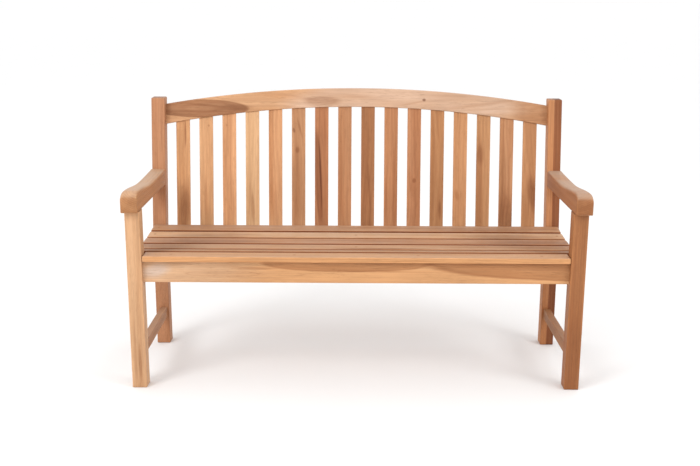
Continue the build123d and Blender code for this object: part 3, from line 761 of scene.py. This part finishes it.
# One row for each back slat, from the left: its colour and its figure.
SLAT_LOOKS = (
    (Tone(198, 147, 107), (
        Mark(-0.14, 0.001, 0.10, 0.022, Stain.DEEP, 0.66, 0.55, 0.005, -7),
        Mark(0.149, 0.009, 0.047, 0.003, Stain.DEEP, 0.7, 0.4, 0.001))),
    (Tone(204, 156, 118), (
        Mark(0.17, 0.01, 0.004, 0.0035, Stain.DEEP, 0.5, 0.5, 0.0005),
        Mark(-0.1, -0.0025, 0.08, 0.0075, Stain.FAINT, 0.6, 0.6, 0.004, 3))),
    (Tone(205, 152, 113), (
        Mark(0.166, -0.009, 0.004, 0.0025, Stain.DEEP, 0.4, 0.5, 0.0005),
        Mark(0.04, -0.0195, 0.108, 0.006, Stain.FAINT, 0.5, 0.7, 0.004))),
    (Tone(205, 163, 126), (
        Mark(-0.139, 0.0015, 0.058, 0.006, Stain.HEART, 0.7, 0.6, 0.003, 2),
        Mark(-0.11, -0.012, 0.073, 0.0045, Stain.FAINT, 0.7, 0.6, 0.003, -3))),
    (Tone(196, 144, 106), (
        Mark(0.083, -0.016, 0.215, 0.0095, Stain.FAINT, 0.85, 0.3, 0.002),
        Mark(-0.113, -0.011, 0.058, 0.011, Stain.FAINT, 0.6, 0.6, 0.004))),
    (Tone(178, 130, 96), (
        Mark(0.138, -0.017, 0.009, 0.0045, Stain.KNOT, 0.6, 0.5, 0.001, 20),
        Mark(0.067, -0.004, 0.011, 0.0065, Stain.HEART, 0.9, 0.5, 0.002),
        Mark(-0.057, -0.008, 0.138, 0.013, Stain.FAINT, 0.9, 0.5, 0.004),
        Mark(0.145, 0.005, 0.036, 0.0035, Stain.HEART, 0.6, 0.5, 0.003, 14))),
    (Tone(173, 118, 84), (
        Mark(-0.037, -0.011, 0.173, 0.0125, Stain.HEART, 0.85, 0.18, 0.003, 2.5),
        Mark(-0.03, -0.0035, 0.123, 0.0025, Stain.DEEP, 0.75, 0.4, 0.002, 2.5),
        Mark(0.137, 0.012, 0.072, 0.0035, Stain.FAINT, 0.8, 0.5, 0.003))),
    (Tone(179, 127, 92), (
        Mark(-0.008, -0.016, 0.18, 0.0065, Stain.FAINT, 0.8, 0.5, 0.003),)),
    (Tone(155, 104, 69), (
        Mark(-0.153, 0.0195, 0.087, 0.0045, Stain.PALE, 0.8, 0.4, 0.002),
        Mark(0.028, -0.0065, 0.162, 0.0085, Stain.FAINT, 0.7, 0.5, 0.004),
        Mark(-0.066, 0.005, 0.087, 0.0035, Stain.HEART, 0.5, 0.5, 0.003, 4))),
    (Tone(175, 120, 84), (
        Mark(-0.061, 0.012, 0.145, 0.0065, Stain.FAINT, 0.8, 0.5, 0.003),
        Mark(-0.116, -0.0165, 0.08, 0.0045, Stain.HEART, 0.5, 0.5, 0.003))),
    (Tone(176, 122, 88), (
        Mark(-0.042, 0.0015, 0.008, 0.006, Stain.HEART, 0.95, 0.5, 0.001),
        Mark(-0.062, -0.006, 0.044, 0.0095, Stain.FAINT, 0.6, 0.5, 0.002, 10))),
    (Tone(174, 124, 86), (
        Mark(-0.146, 0.012, 0.033, 0.0045, Stain.HEART, 0.8, 0.5, 0.002),
        Mark(0.035, -0.0145, 0.18, 0.005, Stain.FAINT, 0.6, 0.5, 0.003))),
    (Tone(194, 143, 105), (
        Mark(-0.088, -0.01, 0.018, 0.007, Stain.FAINT, 0.9, 0.5, 0.002, 12),)),
    (Tone(182, 133, 95), (
        Mark(-0.083, -0.0145, 0.224, 0.014, Stain.HEART, 0.8, 0.3, 0.005),
        Mark(0.063, -0.01, 0.032, 0.0115, Stain.HEART, 0.6, 0.5, 0.003))),
    (Tone(180, 130, 95), (
        Mark(-0.153, 0.001, 0.088, 0.0275, Stain.HEART, 0.85, 0.55, 0.004),
        Mark(0.087, 0.011, 0.18, 0.004, Stain.FAINT, 0.8, 0.5, 0.002),
        Mark(0.087, -0.0125, 0.18, 0.0035, Stain.FAINT, 0.7, 0.5, 0.002))),
    (Tone(185, 134, 96), (
        Mark(-0.062, 0.012, 0.062, 0.014, Stain.DEEP, 0.6, 0.55, 0.003, 9),
        Mark(-0.142, -0.0115, 0.051, 0.0075, Stain.FAINT, 0.6, 0.5, 0.003))),
)


# ---------------------------------------------------------------- lofted boards
@dataclass
class Section:
    """A rounded rectangle across a board: its middle, its two directions, half sizes and corner rounds.

    The corners go round from low across, low up.
    """

    middle: Vector
    across: Vector
    up: Vector
    half_across: float
    half_up: float
    rounds: tuple[float, float, float, float]

    def shrunk(self, inset: float, moved: Vector) -> "Section":
        """The same section, smaller all round and moved, as it is in a rounded end."""
        return Section(self.middle + moved, self.across, self.up, self.half_across - inset,
                       self.half_up - inset, self.rounds)


@dataclass
class Loft:
    """A closed board mesh through a row of rounded sections."""

    name: str
    sections: list[Section]
    corner_steps: int = 4
    side_steps: int = 3
    sanded: float = 0.00012
    waver: float = 0.00018
    waver_pace: float = 6.0
    crease: float = radians(50)
    seed: float = 0.0

    def ring(self, section: Section) -> list[Vector]:
        """Lay points round one section.

        Args:
            section: the section.

        Returns:
            The points in order, from the low corner.
        """
        signs = ((-1, -1), (1, -1), (1, 1), (-1, 1))
        starts = (pi, -pi / 2, 0.0, pi / 2)
        corners = []
        for (side, level), start, radius in zip(signs, starts, section.rounds):
            centre_a = side * (section.half_across - radius)
            centre_u = level * (section.half_up - radius)
            corners.append([(centre_a + radius * cos(start + turn), centre_u + radius * sin(start + turn))
                            for turn in quarter_turn(self.corner_steps)])
        points = []
        for arc, following in zip(corners, corners[1:] + corners[:1]):
            points += arc
            (a0, u0), (a1, u1) = arc[-1], following[0]
            for step in range(1, self.side_steps + 1):
                share = step / (self.side_steps + 1)
                points.append((a0 + share * (a1 - a0), u0 + share * (u1 - u0)))
        return [section.middle + a * section.across + u * section.up for a, u in points]

    def rubbed(self, point: Vector, section: Section) -> Vector:
        """Move a point inwards as the sander did, a little more in some places than in others.

        Args:
            point: a point on the section's outline.
            section: the section.

        Returns:
            The moved point.
        """
        shift = Vector((self.seed, 0, -self.seed))
        depth = self.sanded + self.waver * max(0.0, noise.noise(point * self.waver_pace + shift))
        offset = point - section.middle
        inwards_a = depth * offset.dot(section.across) / section.half_across
        inwards_u = depth * offset.dot(section.up) / section.half_up
        return point - inwards_a * section.across - inwards_u * section.up

    def build(self) -> bpy.types.Object:
        """Make the mesh object.

        Returns:
            The board, smooth where it is rounded and flat where it is flat.
        """
        vertices = [self.rubbed(point, section) for section in self.sections for point in self.ring(section)]
        count = 4 * (self.corner_steps + 1 + self.side_steps)
        last = (len(self.sections) - 1) * count
        faces = []
        for row in range(0, last, count):
            for i in range(count):
                j = (i + 1) % count
                faces.append((row + i, row + j, row + count + j, row + count + i))
        faces.append(tuple(reversed(range(count))))
        faces.append(tuple(range(last, last + count)))
        mesh = bpy.data.meshes.new(self.name)
        mesh.from_pydata(vertices, [], faces)
        mesh.validate()
        first = self.sections[0]
        if first.across.cross(first.up).dot(self.sections[-1].middle - first.middle) < 0:
            mesh.flip_normals()
        mesh.shade_smooth()
        mesh.set_sharp_from_angle(angle=self.crease)
        piece = bpy.data.objects.new(self.name, mesh)
        bpy.context.scene.collection.objects.link(piece)
        weighted = piece.modifiers.new("Even shading", "WEIGHTED_NORMAL")
        weighted.keep_sharp = True
        return piece


def smooth(share: float) -> float:
    """A smooth step from 0 to 1."""
    return share * share * (3 - 2 * share)


def quarter_turn(steps: int) -> list[float]:
    """Angles from 0 to a right angle, both included, in even steps."""
    return [step * pi / 2 / steps for step in range(steps + 1)]


def spread(start: float, end: float, pitch: float) -> list[float]:
    """Even steps from start to end, both included, about as far apart as the pitch."""
    count = max(1, round(abs(end - start) / pitch))
    return [start + (end - start) * i / count for i in range(count + 1)]


def rounded_end(section: Section, outwards: Vector, radius: float, steps: int = 4) -> list[Section]:
    """Sections that round a board over at its end; the last one lies in the end face.

    Args:
        section: the full section at the end face.
        outwards: unit vector out of the end.
        radius: how far the round goes in from the face and the sides.
        steps: sections in the round.

    Returns:
        Sections from the start of the round to the face.
    """
    return [section.shrunk(radius * (1 - cos(turn)), -radius * (1 - sin(turn)) * outwards)
            for turn in quarter_turn(steps)]


# ---------------------------------------------------------------- the bench's own geometry
@dataclass(frozen=True)
class RakedBack:
    """The plane of the leaning back: posts, crest rail, back slats and rear rail lie in it."""

    front: float
    inner: float
    outer: float
    bend: float = 0.3985
    rake: float = radians(8.3)
    post_depth: float = 0.050

    @classmethod
    def from_frame(cls) -> "RakedBack":
        """Read the posts' places from the frame.

        Returns:
            The back as the frame has it.
        """
        low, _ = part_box("left_back_post")
        right_low, right_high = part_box("right_back_post")
        return cls(front=low.y, inner=right_low.x, outer=right_high.x)

    @property
    def upwards(self) -> Vector:
        """Up the slope of the back."""
        return Vector((0, sin(self.rake), cos(self.rake)))

    @property
    def backwards(self) -> Vector:
        """Out of the rear of the back."""
        return Vector((0, cos(self.rake), -sin(self.rake)))

    @property
    def thickness(self) -> float:
        """The posts' depth square to the slope."""
        return self.post_depth * cos(self.rake)

    def face(self, height: float) -> float:
        """y of the posts' front faces at a height."""
        return self.front + max(0.0, height - self.bend) * tan(self.rake)

    def point(self, x: float, slope: float, depth: float) -> Vector:
        """A point across, up the slope from the bend, and behind the posts' raked faces."""
        return Vector((x, self.front, self.bend)) + slope * self.upwards + depth * self.backwards


@dataclass
class SubAssembly:
    """What the sub-assemblies share: dressing, riding on the frame and reporting."""

    carpenter: Carpenter

    def fit(self, loft: Loft, node: str, slot: Slot, material: Material) -> None:
        """Build a lofted board in place of its frame node.

        Args:
            loft: the board.
            node: the frame node that it stands for.
            slot: the record's material slot; not used.
            material: its finish.
        """
        piece = loft.build()
        piece.data.materials.append(material)
        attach(piece, "root")
        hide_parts(node)
        log.info("%s: %d faces", piece.name, len(piece.data.polygons))

    def dress(self, node: str, material: Material) -> None:
        """Give a frame node a finish and keep its mesh.

        Args:
            node: the frame node.
            material: its finish.
        """
        piece = bpy.data.objects[node]
        for slot in piece.material_slots:
            slot.material = material
        log.info("%s: kept, %d faces", node, len(piece.data.polygons))


@dataclass
class FrontLegs(SubAssembly):
    """The two square front legs, each with its tenon into the arm."""

    round: float = 0.0025
    foot_chamfer: float = 0.002
    foot_height: float = 0.010
    shoulder_edge: float = 0.004
    tenon_size: float = 0.024
    tenon_gap: float = 0.0001

    def build(self) -> None:
        """Shape and dress both legs."""
        for side in Side:
            name = f"{side.word}_front_leg"
            low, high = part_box(name)
            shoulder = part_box(f"{side.word}_arm")[0].z
            middle = (low + high) / 2
            half = (high - low) / 2

            def section(z: float, inset: float = 0.0) -> Section:
                """A level section of the leg."""
                return Section(Vector((middle.x, middle.y, z)), X_AXIS, Y_AXIS, half.x - inset,
                               half.y - inset, (self.round,) * 4)

            def tenon(z: float) -> Section:
                """A level section of the tenon."""
                return Section(Vector((middle.x, middle.y, z)), X_AXIS, Y_AXIS, self.tenon_size / 2,
                               self.tenon_size / 2, (TENON_ROUND,) * 4)

            heights = [low.z + self.foot_chamfer]
            heights += spread(low.z + self.foot_height, shoulder - self.shoulder_edge, SECTION_PITCH)
            rows = [section(low.z, self.foot_chamfer)]
            rows += [section(z) for z in heights + [shoulder]]
            rows += [tenon(shoulder + self.tenon_gap), tenon(high.z)]
            lie = Lie(Vector((middle.x, middle.y, shoulder / 2)), Z_AXIS, X_AXIS,
                      Vector((shoulder / 2, half.x, half.y)))
            material = self.carpenter.teak(f"{side.word} front leg", FRONT_LEG_TIMBERS[side], lie)
            self.fit(Loft(f"{name}_teak", rows, seed=middle.x * 9), name, Slot.FRAME, material)


@dataclass
class BackPosts(SubAssembly):
    """The two back posts, upright to the bend and raked above it."""

    back: RakedBack
    round: float = 0.0025
    top_chamfer: float = 0.003
    top_steps: int = 4
    foot_chamfer: float = 0.002
    end_edge: float = 0.008
    bend_edge: float = 0.002

    def build(self) -> None:
        """Shape and dress both posts."""
        half_x = (self.back.outer - self.back.inner) / 2
        half_y = self.back.post_depth / 2
        for side in Side:
            name = f"{side.word}_back_post"
            low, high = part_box(name)
            x = side.value * (self.back.inner + self.back.outer) / 2

            def section(z: float, inset: float = 0.0) -> Section:
                """A level section of the post."""
                middle = Vector((x, self.back.face(z) + half_y, z))
                return Section(middle, X_AXIS, Y_AXIS, half_x - inset, half_y - inset, (self.round,) * 4)

            heights = [low.z + self.foot_chamfer]
            heights += spread(low.z + self.end_edge, self.back.bend - self.bend_edge, SECTION_PITCH)
            heights += spread(self.back.bend + self.bend_edge, high.z - self.end_edge, SECTION_PITCH)
            rows = [section(low.z, self.foot_chamfer)]
            rows += [section(z) for z in heights]
            rows += [section(high.z - self.top_chamfer * (1 - sin(turn)), self.top_chamfer * (1 - cos(turn)))
                     for turn in quarter_turn(self.top_steps)]
            # The half depth is trebled, because the upright part of the post leaves the raked plane.
            lie = Lie(Vector((x, self.back.face(ARM_HEIGHT) + half_y, ARM_HEIGHT)), self.back.upwards,
                      X_AXIS, Vector((high.z, half_x, half_y * 3)))
            material = self.carpenter.teak(f"{side.word} back post", BACK_POST_TIMBERS[side], lie)
            self.fit(Loft(f"{name}_teak", rows, seed=x * 7), name, Slot.FRAME, material)


@dataclass
class Arms(SubAssembly):
    """The two shaped arms: scooped tops, rolled noses and hand-rounded edges."""

    back: RakedBack
    leg_front: float
    rear_thick: float = 0.0565
    rear_sweep: float = 1.8
    waist_thick: float = 0.0505
    waist_setback: float = 0.240
    crown_thick: float = 0.066
    crown_setback: float = 0.012
    crown_length: float = 0.030
    nose_reach: float = 0.026
    nose_thick: float = 0.041
    nose_round: float = 0.008
    nose_steps: int = 6
    overhang: float = 0.0065
    inner_inset: float = 0.001
    top_round: float = 0.011
    rear_round: float = 0.008
    under_round: float = 0.003
    under_fade: float = 4.0
    under_least: float = 0.1
    lean_start: float = 0.6
    crown_pitch: float = 0.005
    scoop_pitch: float = 0.014
    tenon_height: float = 0.026
    tenon_rise: float = 0.012
    tenon_thick: float = 0.010
    tenon_length: float = 0.022
    tenon_root: float = 0.002

    def thickness(self, setback: float) -> float:
        """Height of the top over the underside.

        Args:
            setback: how far behind the legs' front faces.

        Returns:
            The arm's thickness there.
        """
        crown, waist = self.crown_setback, self.waist_setback
        rear = self.back.face(ARM_HEIGHT) - self.leg_front
        if setback < crown:
            drop = self.crown_thick - self.nose_thick
            reach = crown + self.nose_reach
            radius = (drop ** 2 + reach ** 2) / (2 * drop)
            return self.crown_thick - radius + sqrt(radius ** 2 - (crown - setback) ** 2)
        if setback < waist:
            share = (setback - crown) / (waist - crown)
            return self.crown_thick + (self.waist_thick - self.crown_thick) * smooth(share)
        share = min(1.0, (setback - waist) / (rear - waist))
        return self.waist_thick + (self.rear_thick - self.waist_thick) * share ** self.rear_sweep

    def build(self) -> None:
        """Shape and dress both arms."""
        for side in Side:
            name = f"{side.word}_arm"
            low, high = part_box(name)
            rows = self.board(side, low.z) + self.tenon(side, low.z)
            material = self.carpenter.teak(f"{side.word} arm", ARM_TIMBERS[side],
                                           Lie((low + high) / 2, Y_AXIS, X_AXIS))
            loft = Loft(f"{name}_teak", rows, corner_steps=7, side_steps=4, seed=side.value * 3.0)
            self.fit(loft, name, Slot.FRAME, material)

    def board(self, side: Side, underside: float) -> list[Section]:
        """Sections of one arm from its nose to the post.

        Args:
            side: which arm.
            underside: height of the arm's underside.

        Returns:
            The sections, front to rear.
        """
        inner = self.back.inner + self.inner_inset
        outer = self.back.outer + self.overhang
        nose = -self.nose_reach
        rear = self.back.face(underside) - self.leg_front
        crown_end = self.crown_setback + self.crown_length
        setbacks = [nose + self.nose_round * (1 - cos(turn)) for turn in quarter_turn(self.nose_steps)[:-1]]
        setbacks += spread(nose + self.nose_round, crown_end, self.crown_pitch)
        setbacks += spread(crown_end + 2 * self.crown_pitch, rear, self.scoop_pitch)
        rows = []
        for setback in setbacks:
            into = max(0.0, self.nose_round - (setback - nose))
            inset = self.nose_round - sqrt(self.nose_round ** 2 - into ** 2)
            share = min(1.0, max(0.0, setback / rear))
            top = self.top_round + (self.rear_round - self.top_round) * share
            thick = self.thickness(setback)
            leaning = smooth(max(0.0, (share - self.lean_start) / (1 - self.lean_start)))
            up = Vector((0, tan(self.back.rake) * leaning, 1))
            middle = Vector((side.value * (inner + outer) / 2, self.leg_front + setback, underside))
            under = self.under_round * min(1.0, self.under_fade * (1 - share) + self.under_least)
            rows.append(Section(middle + up * (thick / 2), X_AXIS, up, (outer - inner) / 2 - inset,
                                thick / 2 - inset, (under, under, top, top)))
        return rows

    def tenon(self, side: Side, underside: float) -> list[Section]:
        """Sections of one arm's tenon into the post.

        Args:
            side: which arm.
            underside: height of the arm's underside.

        Returns:
            The sections at the tenon's root and at its end.
        """
        x = side.value * (self.back.inner + self.back.outer) / 2
        z = underside + self.tenon_rise + self.tenon_height / 2
        up = Vector((0, tan(self.back.rake), 1))
        return [Section(Vector((x, self.back.face(z) + reach, z)), X_AXIS, up, self.tenon_thick / 2,
                        self.tenon_height / 2, (TENON_ROUND,) * 4)
                for reach in (-self.tenon_root, self.tenon_length)]


@dataclass
class SeatSlats(SubAssembly):
    """The dished seat: one slat between the front legs and five that run over the side rails."""

    front: float
    height: float = 0.448
    dish: float = 0.011
    low_setback: float = 0.202
    gap: float = 0.0143
    thick: float = 0.018
    end_round: float = 0.005
    end_edge: float = 0.008
    top_round: float = 0.0035
    under_round: float = 0.0008
    measuring_error: float = 1e-5
    first_seed: float = 11.0
    seed_step: float = 1.7

    @property
    def width(self) -> float:
        """Width of one slat, from where two of them start."""
        first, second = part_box("seat_slat_3")[0].y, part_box("seat_slat_4")[0].y
        return second - first - self.gap

    def top(self, setback: float) -> float:
        """Height of the seat: level at first, then a slope into the dish.

        Args:
            setback: how far behind the front of the legs.

        Returns:
            The height there.
        """
        pitch = self.width + self.gap
        if setback < pitch - self.measuring_error:
            return self.height
        sunk = self.dish - self.dish * (setback / self.low_setback - 1) ** 2
        return self.height - sunk * min(1.0, (setback - pitch) / self.width)

    def build(self) -> None:
        """Shape and dress every slat."""
        width = self.width
        rounds = (self.under_round, self.under_round, self.top_round, self.top_round)
        # Each row's second value is how strong the painted shade in the gaps is.
        for index, (tone, gap_shade_strength, marks) in enumerate(SEAT_LOOKS):
            name = f"seat_slat_{index + 1}"
            low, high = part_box(name)
            start = index * (width + self.gap)
            rise = self.top(start + width) - self.top(start)
            length = hypot(width, rise)
            across = Vector((0, width / length, rise / length))
            up = Vector((0, -rise / length, width / length))
            front_edge = Vector((0, self.front + start, self.top(start)))
            middle = front_edge + across * (length / 2) - up * (self.thick / 2)

            def section(x: float) -> Section:
                """The slat's section at x."""
                return Section(middle + Vector((x, 0, 0)), across, up, width / 2, self.thick / 2, rounds)

            rows = rounded_end(section(low.x), -X_AXIS, self.end_round)[::-1]
            rows += [section(x)
                     for x in spread(low.x + self.end_edge, high.x - self.end_edge, SECTION_PITCH)]
            rows += rounded_end(section(high.x), X_AXIS, self.end_round)
            timber = Timber(tone, self.first_seed + self.seed_step * index, sway=0.04, ring_strength=0.5,
                            pith=(0, 0.03 * (-1) ** index, -0.09 - 0.01 * index), bleach=0.36,
                            marks=marks, gap_grime=gap_shade_strength)
            lie = Lie(middle, X_AXIS, across, Vector((high.x, width / 2, self.thick / 2)))
            material = self.carpenter.teak(f"seat slat {index + 1}", timber, lie)
            self.fit(Loft(f"{name}_teak", rows, seed=index * 5.0), name, Slot.SEAT, material)


@dataclass
class BackFill(SubAssembly):
    """The arched crest rail and the slats housed in it."""

    back: RakedBack
    crest_thick: float = 0.024
    crest_depth: float = 0.067
    crest_rise: float = 0.059
    crest_under_rise: float = 0.064
    crest_lift: float = 0.0001
    crest_round: float = 0.004
    crest_under_round: float = 0.002
    crest_pitch: float = 0.018
    tenon_length: float = 0.030
    tenon_thick: float = 0.010
    tenon_shoulder: float = 0.009
    slat_thick: float = 0.013
    slat_width: float = 0.049
    slat_round: float = 0.0022
    slat_pitch: float = 0.025
    housing: float = 0.014
    first_seed: float = 31.0
    seed_step: float = 2.3

    @property
    def recess(self) -> float:
        """From the posts' raked faces to the front of the crest rail."""
        return self.back.thickness - self.crest_thick

    @property
    def middle_depth(self) -> float:
        """From the posts' raked faces to the middle of the crest rail and the slats."""
        return self.recess + self.crest_thick / 2

    @property
    def top(self) -> float:
        """How far up the slope the crest rail's peak is."""
        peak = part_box("crest_rail")[1].z - self.back.bend
        return peak / cos(self.back.rake) + self.recess * tan(self.back.rake) + self.crest_lift

    @property
    def under(self) -> float:
        """How far up the slope the underside is below the peak."""
        return self.top - self.crest_depth

    def build(self) -> None:
        """Shape and dress the crest rail and every slat."""
        self.crest()
        self.slats()

    def arch(self, x: float, peak: float, rise: float) -> float:
        """Height up the slope of an arch that springs from the posts."""
        radius = (self.back.inner ** 2 + rise ** 2) / (2 * rise)
        return peak - radius + sqrt(radius ** 2 - x ** 2)

    def crest_section(self, x: float) -> Section:
        """Cut across the crest rail.

        Args:
            x: where along the rail.

        Returns:
            Its section there.
        """
        high = self.arch(x, self.top, self.crest_rise)
        low = self.arch(x, self.under, self.crest_under_rise)
        return Section(self.back.point(x, (high + low) / 2, self.middle_depth), self.back.backwards,
                       self.back.upwards, self.crest_thick / 2, (high - low) / 2,
                       (self.crest_under_round, self.crest_under_round, self.crest_round, self.crest_round))

    def crest_tenon(self, x: float) -> Section:
        """Cut across a tenon of the crest rail.

        Args:
            x: where along the rail.

        Returns:
            The tenon's section there.
        """
        high = self.arch(self.back.inner, self.top, self.crest_rise) - self.tenon_shoulder
        low = self.arch(self.back.inner, self.under, self.crest_under_rise) + self.tenon_shoulder
        return Section(self.back.point(x, (high + low) / 2, self.middle_depth), self.back.backwards,
                       self.back.upwards, self.tenon_thick / 2, (high - low) / 2, (TENON_ROUND,) * 4)

    def crest(self) -> None:
        """Shape and dress the crest rail."""
        inner = self.back.inner
        outer = inner + self.tenon_length
        rows = [self.crest_tenon(-outer), self.crest_tenon(-inner)]
        rows += [self.crest_section(x) for x in spread(-inner, inner, self.crest_pitch)]
        rows += [self.crest_tenon(inner), self.crest_tenon(outer)]
        middle = self.back.point(0.0, self.under + self.crest_depth / 2, self.middle_depth)
        lie = Lie(middle, X_AXIS, self.back.upwards, Vector((inner, 1.0, 1.0)))
        material = self.carpenter.teak("crest rail", CREST_TIMBER, lie)
        self.fit(Loft("crest_rail_teak", rows, seed=2.0), "crest_rail", Slot.BACK, material)

    def slats(self) -> None:
        """Shape and dress the back slats."""
        for index, (tone, marks) in enumerate(SLAT_LOOKS):
            name = f"back_slat_{index + 1:02d}"
            low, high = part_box(name)
            x = (low.x + high.x) / 2
            foot = low.z - self.back.bend + self.middle_depth * sin(self.back.rake)
            bottom = foot / cos(self.back.rake)
            top = self.arch(x, self.under, self.crest_under_rise) + self.housing

            def section(slope: float) -> Section:
                """The slat's section up the slope."""
                return Section(self.back.point(x, slope, self.middle_depth), X_AXIS, self.back.backwards,
                               self.slat_width / 2, self.slat_thick / 2, (self.slat_round,) * 4)

            rows = [section(slope) for slope in spread(bottom, top, self.slat_pitch)]
            middle = self.back.point(x, (bottom + top) / 2, self.middle_depth)
            lie = Lie(middle, self.back.upwards, X_AXIS,
                      Vector(((top - bottom) / 2, self.slat_width / 2, self.slat_thick / 2)))
            timber = Timber(tone, self.first_seed + self.seed_step * index, ring_strength=0.42, bleach=0.2,
                            pith=(0, 0.05 * (-1) ** index, 0.08), marks=marks)
            material = self.carpenter.teak(f"back slat {index + 1}", timber, lie)
            self.fit(Loft(f"{name}_teak", rows, seed=index * 4.0), name, Slot.BACK, material)


@dataclass
class Rails(SubAssembly):
    """Apron, rear rail, side rails, bearer and stretchers, which keep the frame's joinery."""

    back: RakedBack

    def build(self) -> None:
        """Dress every rail along its length."""
        for node, timber in RAIL_TIMBERS.items():
            low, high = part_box(node)
            along = X_AXIS if high.x - low.x > high.y - low.y else Y_AXIS
            across = self.back.upwards if node == "rear_seat_rail" else Z_AXIS
            lie = Lie((low + high) / 2, along, across)
            self.dress(node, self.carpenter.teak(node.replace("_", " "), timber, lie))


@dataclass
class Fastenings(SubAssembly):
    """Screws, the plugs over them and the joint pegs."""

    middle: Triple = (0.0, 0.0, 0.4)

    def build(self) -> None:
        """Dress the small parts."""
        for node, along, across in (("screw_plugs", X_AXIS, Y_AXIS), ("side_frame_pegs", X_AXIS, Y_AXIS),
                                    ("arm_pegs", X_AXIS, Y_AXIS), ("apron_pegs", Y_AXIS, X_AXIS),
                                    ("back_frame_pegs", Y_AXIS, X_AXIS)):
            lie = Lie(Vector(self.middle), along, across)
            self.dress(node, self.carpenter.teak(node.replace("_", " "), PEG_TIMBER, lie))
        self.dress("seat_screws", self.carpenter.steel())


# ---------------------------------------------------------------- the studio
@dataclass(frozen=True)
class Softbox:
    """A square area light that faces the bench."""

    name: str
    place: Triple
    size: float
    power: float
    target: Triple = (0.0, 0.0, 0.4)

    def build(self) -> None:
        """Hang the light."""
        data = bpy.data.lights.new(self.name, "AREA")
        data.shape = "SQUARE"
        data.size = self.size
        data.energy = self.power
        lamp = bpy.data.objects.new(self.name, data)
        lamp.location = self.place
        aim = Vector(self.target) - Vector(self.place)
        lamp.rotation_euler = aim.to_track_quat("-Z", "Y").to_euler()
        bpy.context.scene.collection.objects.link(lamp)


@dataclass(frozen=True)
class Studio:
    """A pale floor, soft lights and the camera."""

    camera_place: Triple = (-0.0161, -3.3103, 1.2727)
    pitch: float = radians(13.73)
    yaw: float = radians(-0.085)
    roll: float = radians(-0.284)
    lens: float = 50.84
    sensor_width: float = 36.0
    floor_size: float = 300.0
    floor_greys: tuple[float, float] = (0.81, 0.83)
    floor_roughness: float = 0.8
    sky_power: float = 1.20
    softboxes: tuple[Softbox, ...] = (
        Softbox("Left softbox", (-2.6, -2.6, 2.9), 1.5, 62.0),
        Softbox("Right softbox", (2.9, -2.0, 2.6), 1.3, 34.0))

    def build(self) -> None:
        """Set everything up round the bench."""
        self.floor()
        self.surroundings()
        for softbox in self.softboxes:
            softbox.build()
        self.camera()
        view = bpy.context.scene.view_settings
        view.view_transform = "Standard"
        view.look = "None"
        log.info("studio is set")

    def floor(self) -> None:
        """Lay a pale matt floor."""
        bpy.ops.mesh.primitive_plane_add(size=self.floor_size, location=(0, 0, 0))
        floor = bpy.context.object
        floor.name = "studio_floor"
        material = bpy.data.materials.new("Pale studio floor")
        material.use_nodes = True
        w = Wiring(material.node_tree)
        shader = material.node_tree.nodes["Principled BSDF"]
        patches = w.noise(w.node("ShaderNodeTexCoord").outputs["Object"], 3.0).outputs[0]
        dark, light = ((grey,) * 3 for grey in self.floor_greys)
        w.feed(shader.inputs["Base Color"], w.mix(patches, dark, light))
        w.feed(shader.inputs["Roughness"], self.floor_roughness)
        floor.data.materials.append(material)

    def surroundings(self) -> None:
        """Light the bench evenly from all round."""
        world = bpy.data.worlds.new("White studio")
        world.use_nodes = True
        background = world.node_tree.nodes["Background"]
        background.inputs["Color"].default_value = (1.0, 1.0, 1.0, 1.0)
        background.inputs["Strength"].default_value = self.sky_power
        bpy.context.scene.world = world

    def camera(self) -> None:
        """Place the camera, a little above the arms and looking slightly down."""
        level_reach = cos(self.pitch)
        forwards = Vector((sin(self.yaw) * level_reach, cos(self.yaw) * level_reach, -sin(self.pitch)))
        level = Vector((cos(self.yaw), -sin(self.yaw), 0))
        down = forwards.cross(level)
        right = cos(self.roll) * level + sin(self.roll) * down
        lower = -sin(self.roll) * level + cos(self.roll) * down
        data = bpy.data.cameras.new("Camera")
        data.lens = self.lens
        data.sensor_width = self.sensor_width
        camera = bpy.data.objects.new("Camera", data)
        turn = Matrix((right, -lower, -forwards)).transposed().to_4x4()
        camera.matrix_world = Matrix.Translation(self.camera_place) @ turn
        bpy.context.scene.collection.objects.link(camera)
        bpy.context.scene.camera = camera


def main() -> None:
    """Build the bench's looks in order."""
    logging.basicConfig(level=logging.INFO, format="%(name)s: %(message)s")
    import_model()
    Studio().build()
    carpenter = Carpenter(TeakNodes())
    back = RakedBack.from_frame()
    leg_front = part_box("left_front_leg")[0].y
    FrontLegs(carpenter).build()
    BackPosts(carpenter, back).build()
    Arms(carpenter, back, leg_front).build()
    Rails(carpenter, back).build()
    SeatSlats(carpenter, leg_front).build()
    BackFill(carpenter, back).build()
    Fastenings(carpenter).build()


if __name__ == "__main__":
    main()
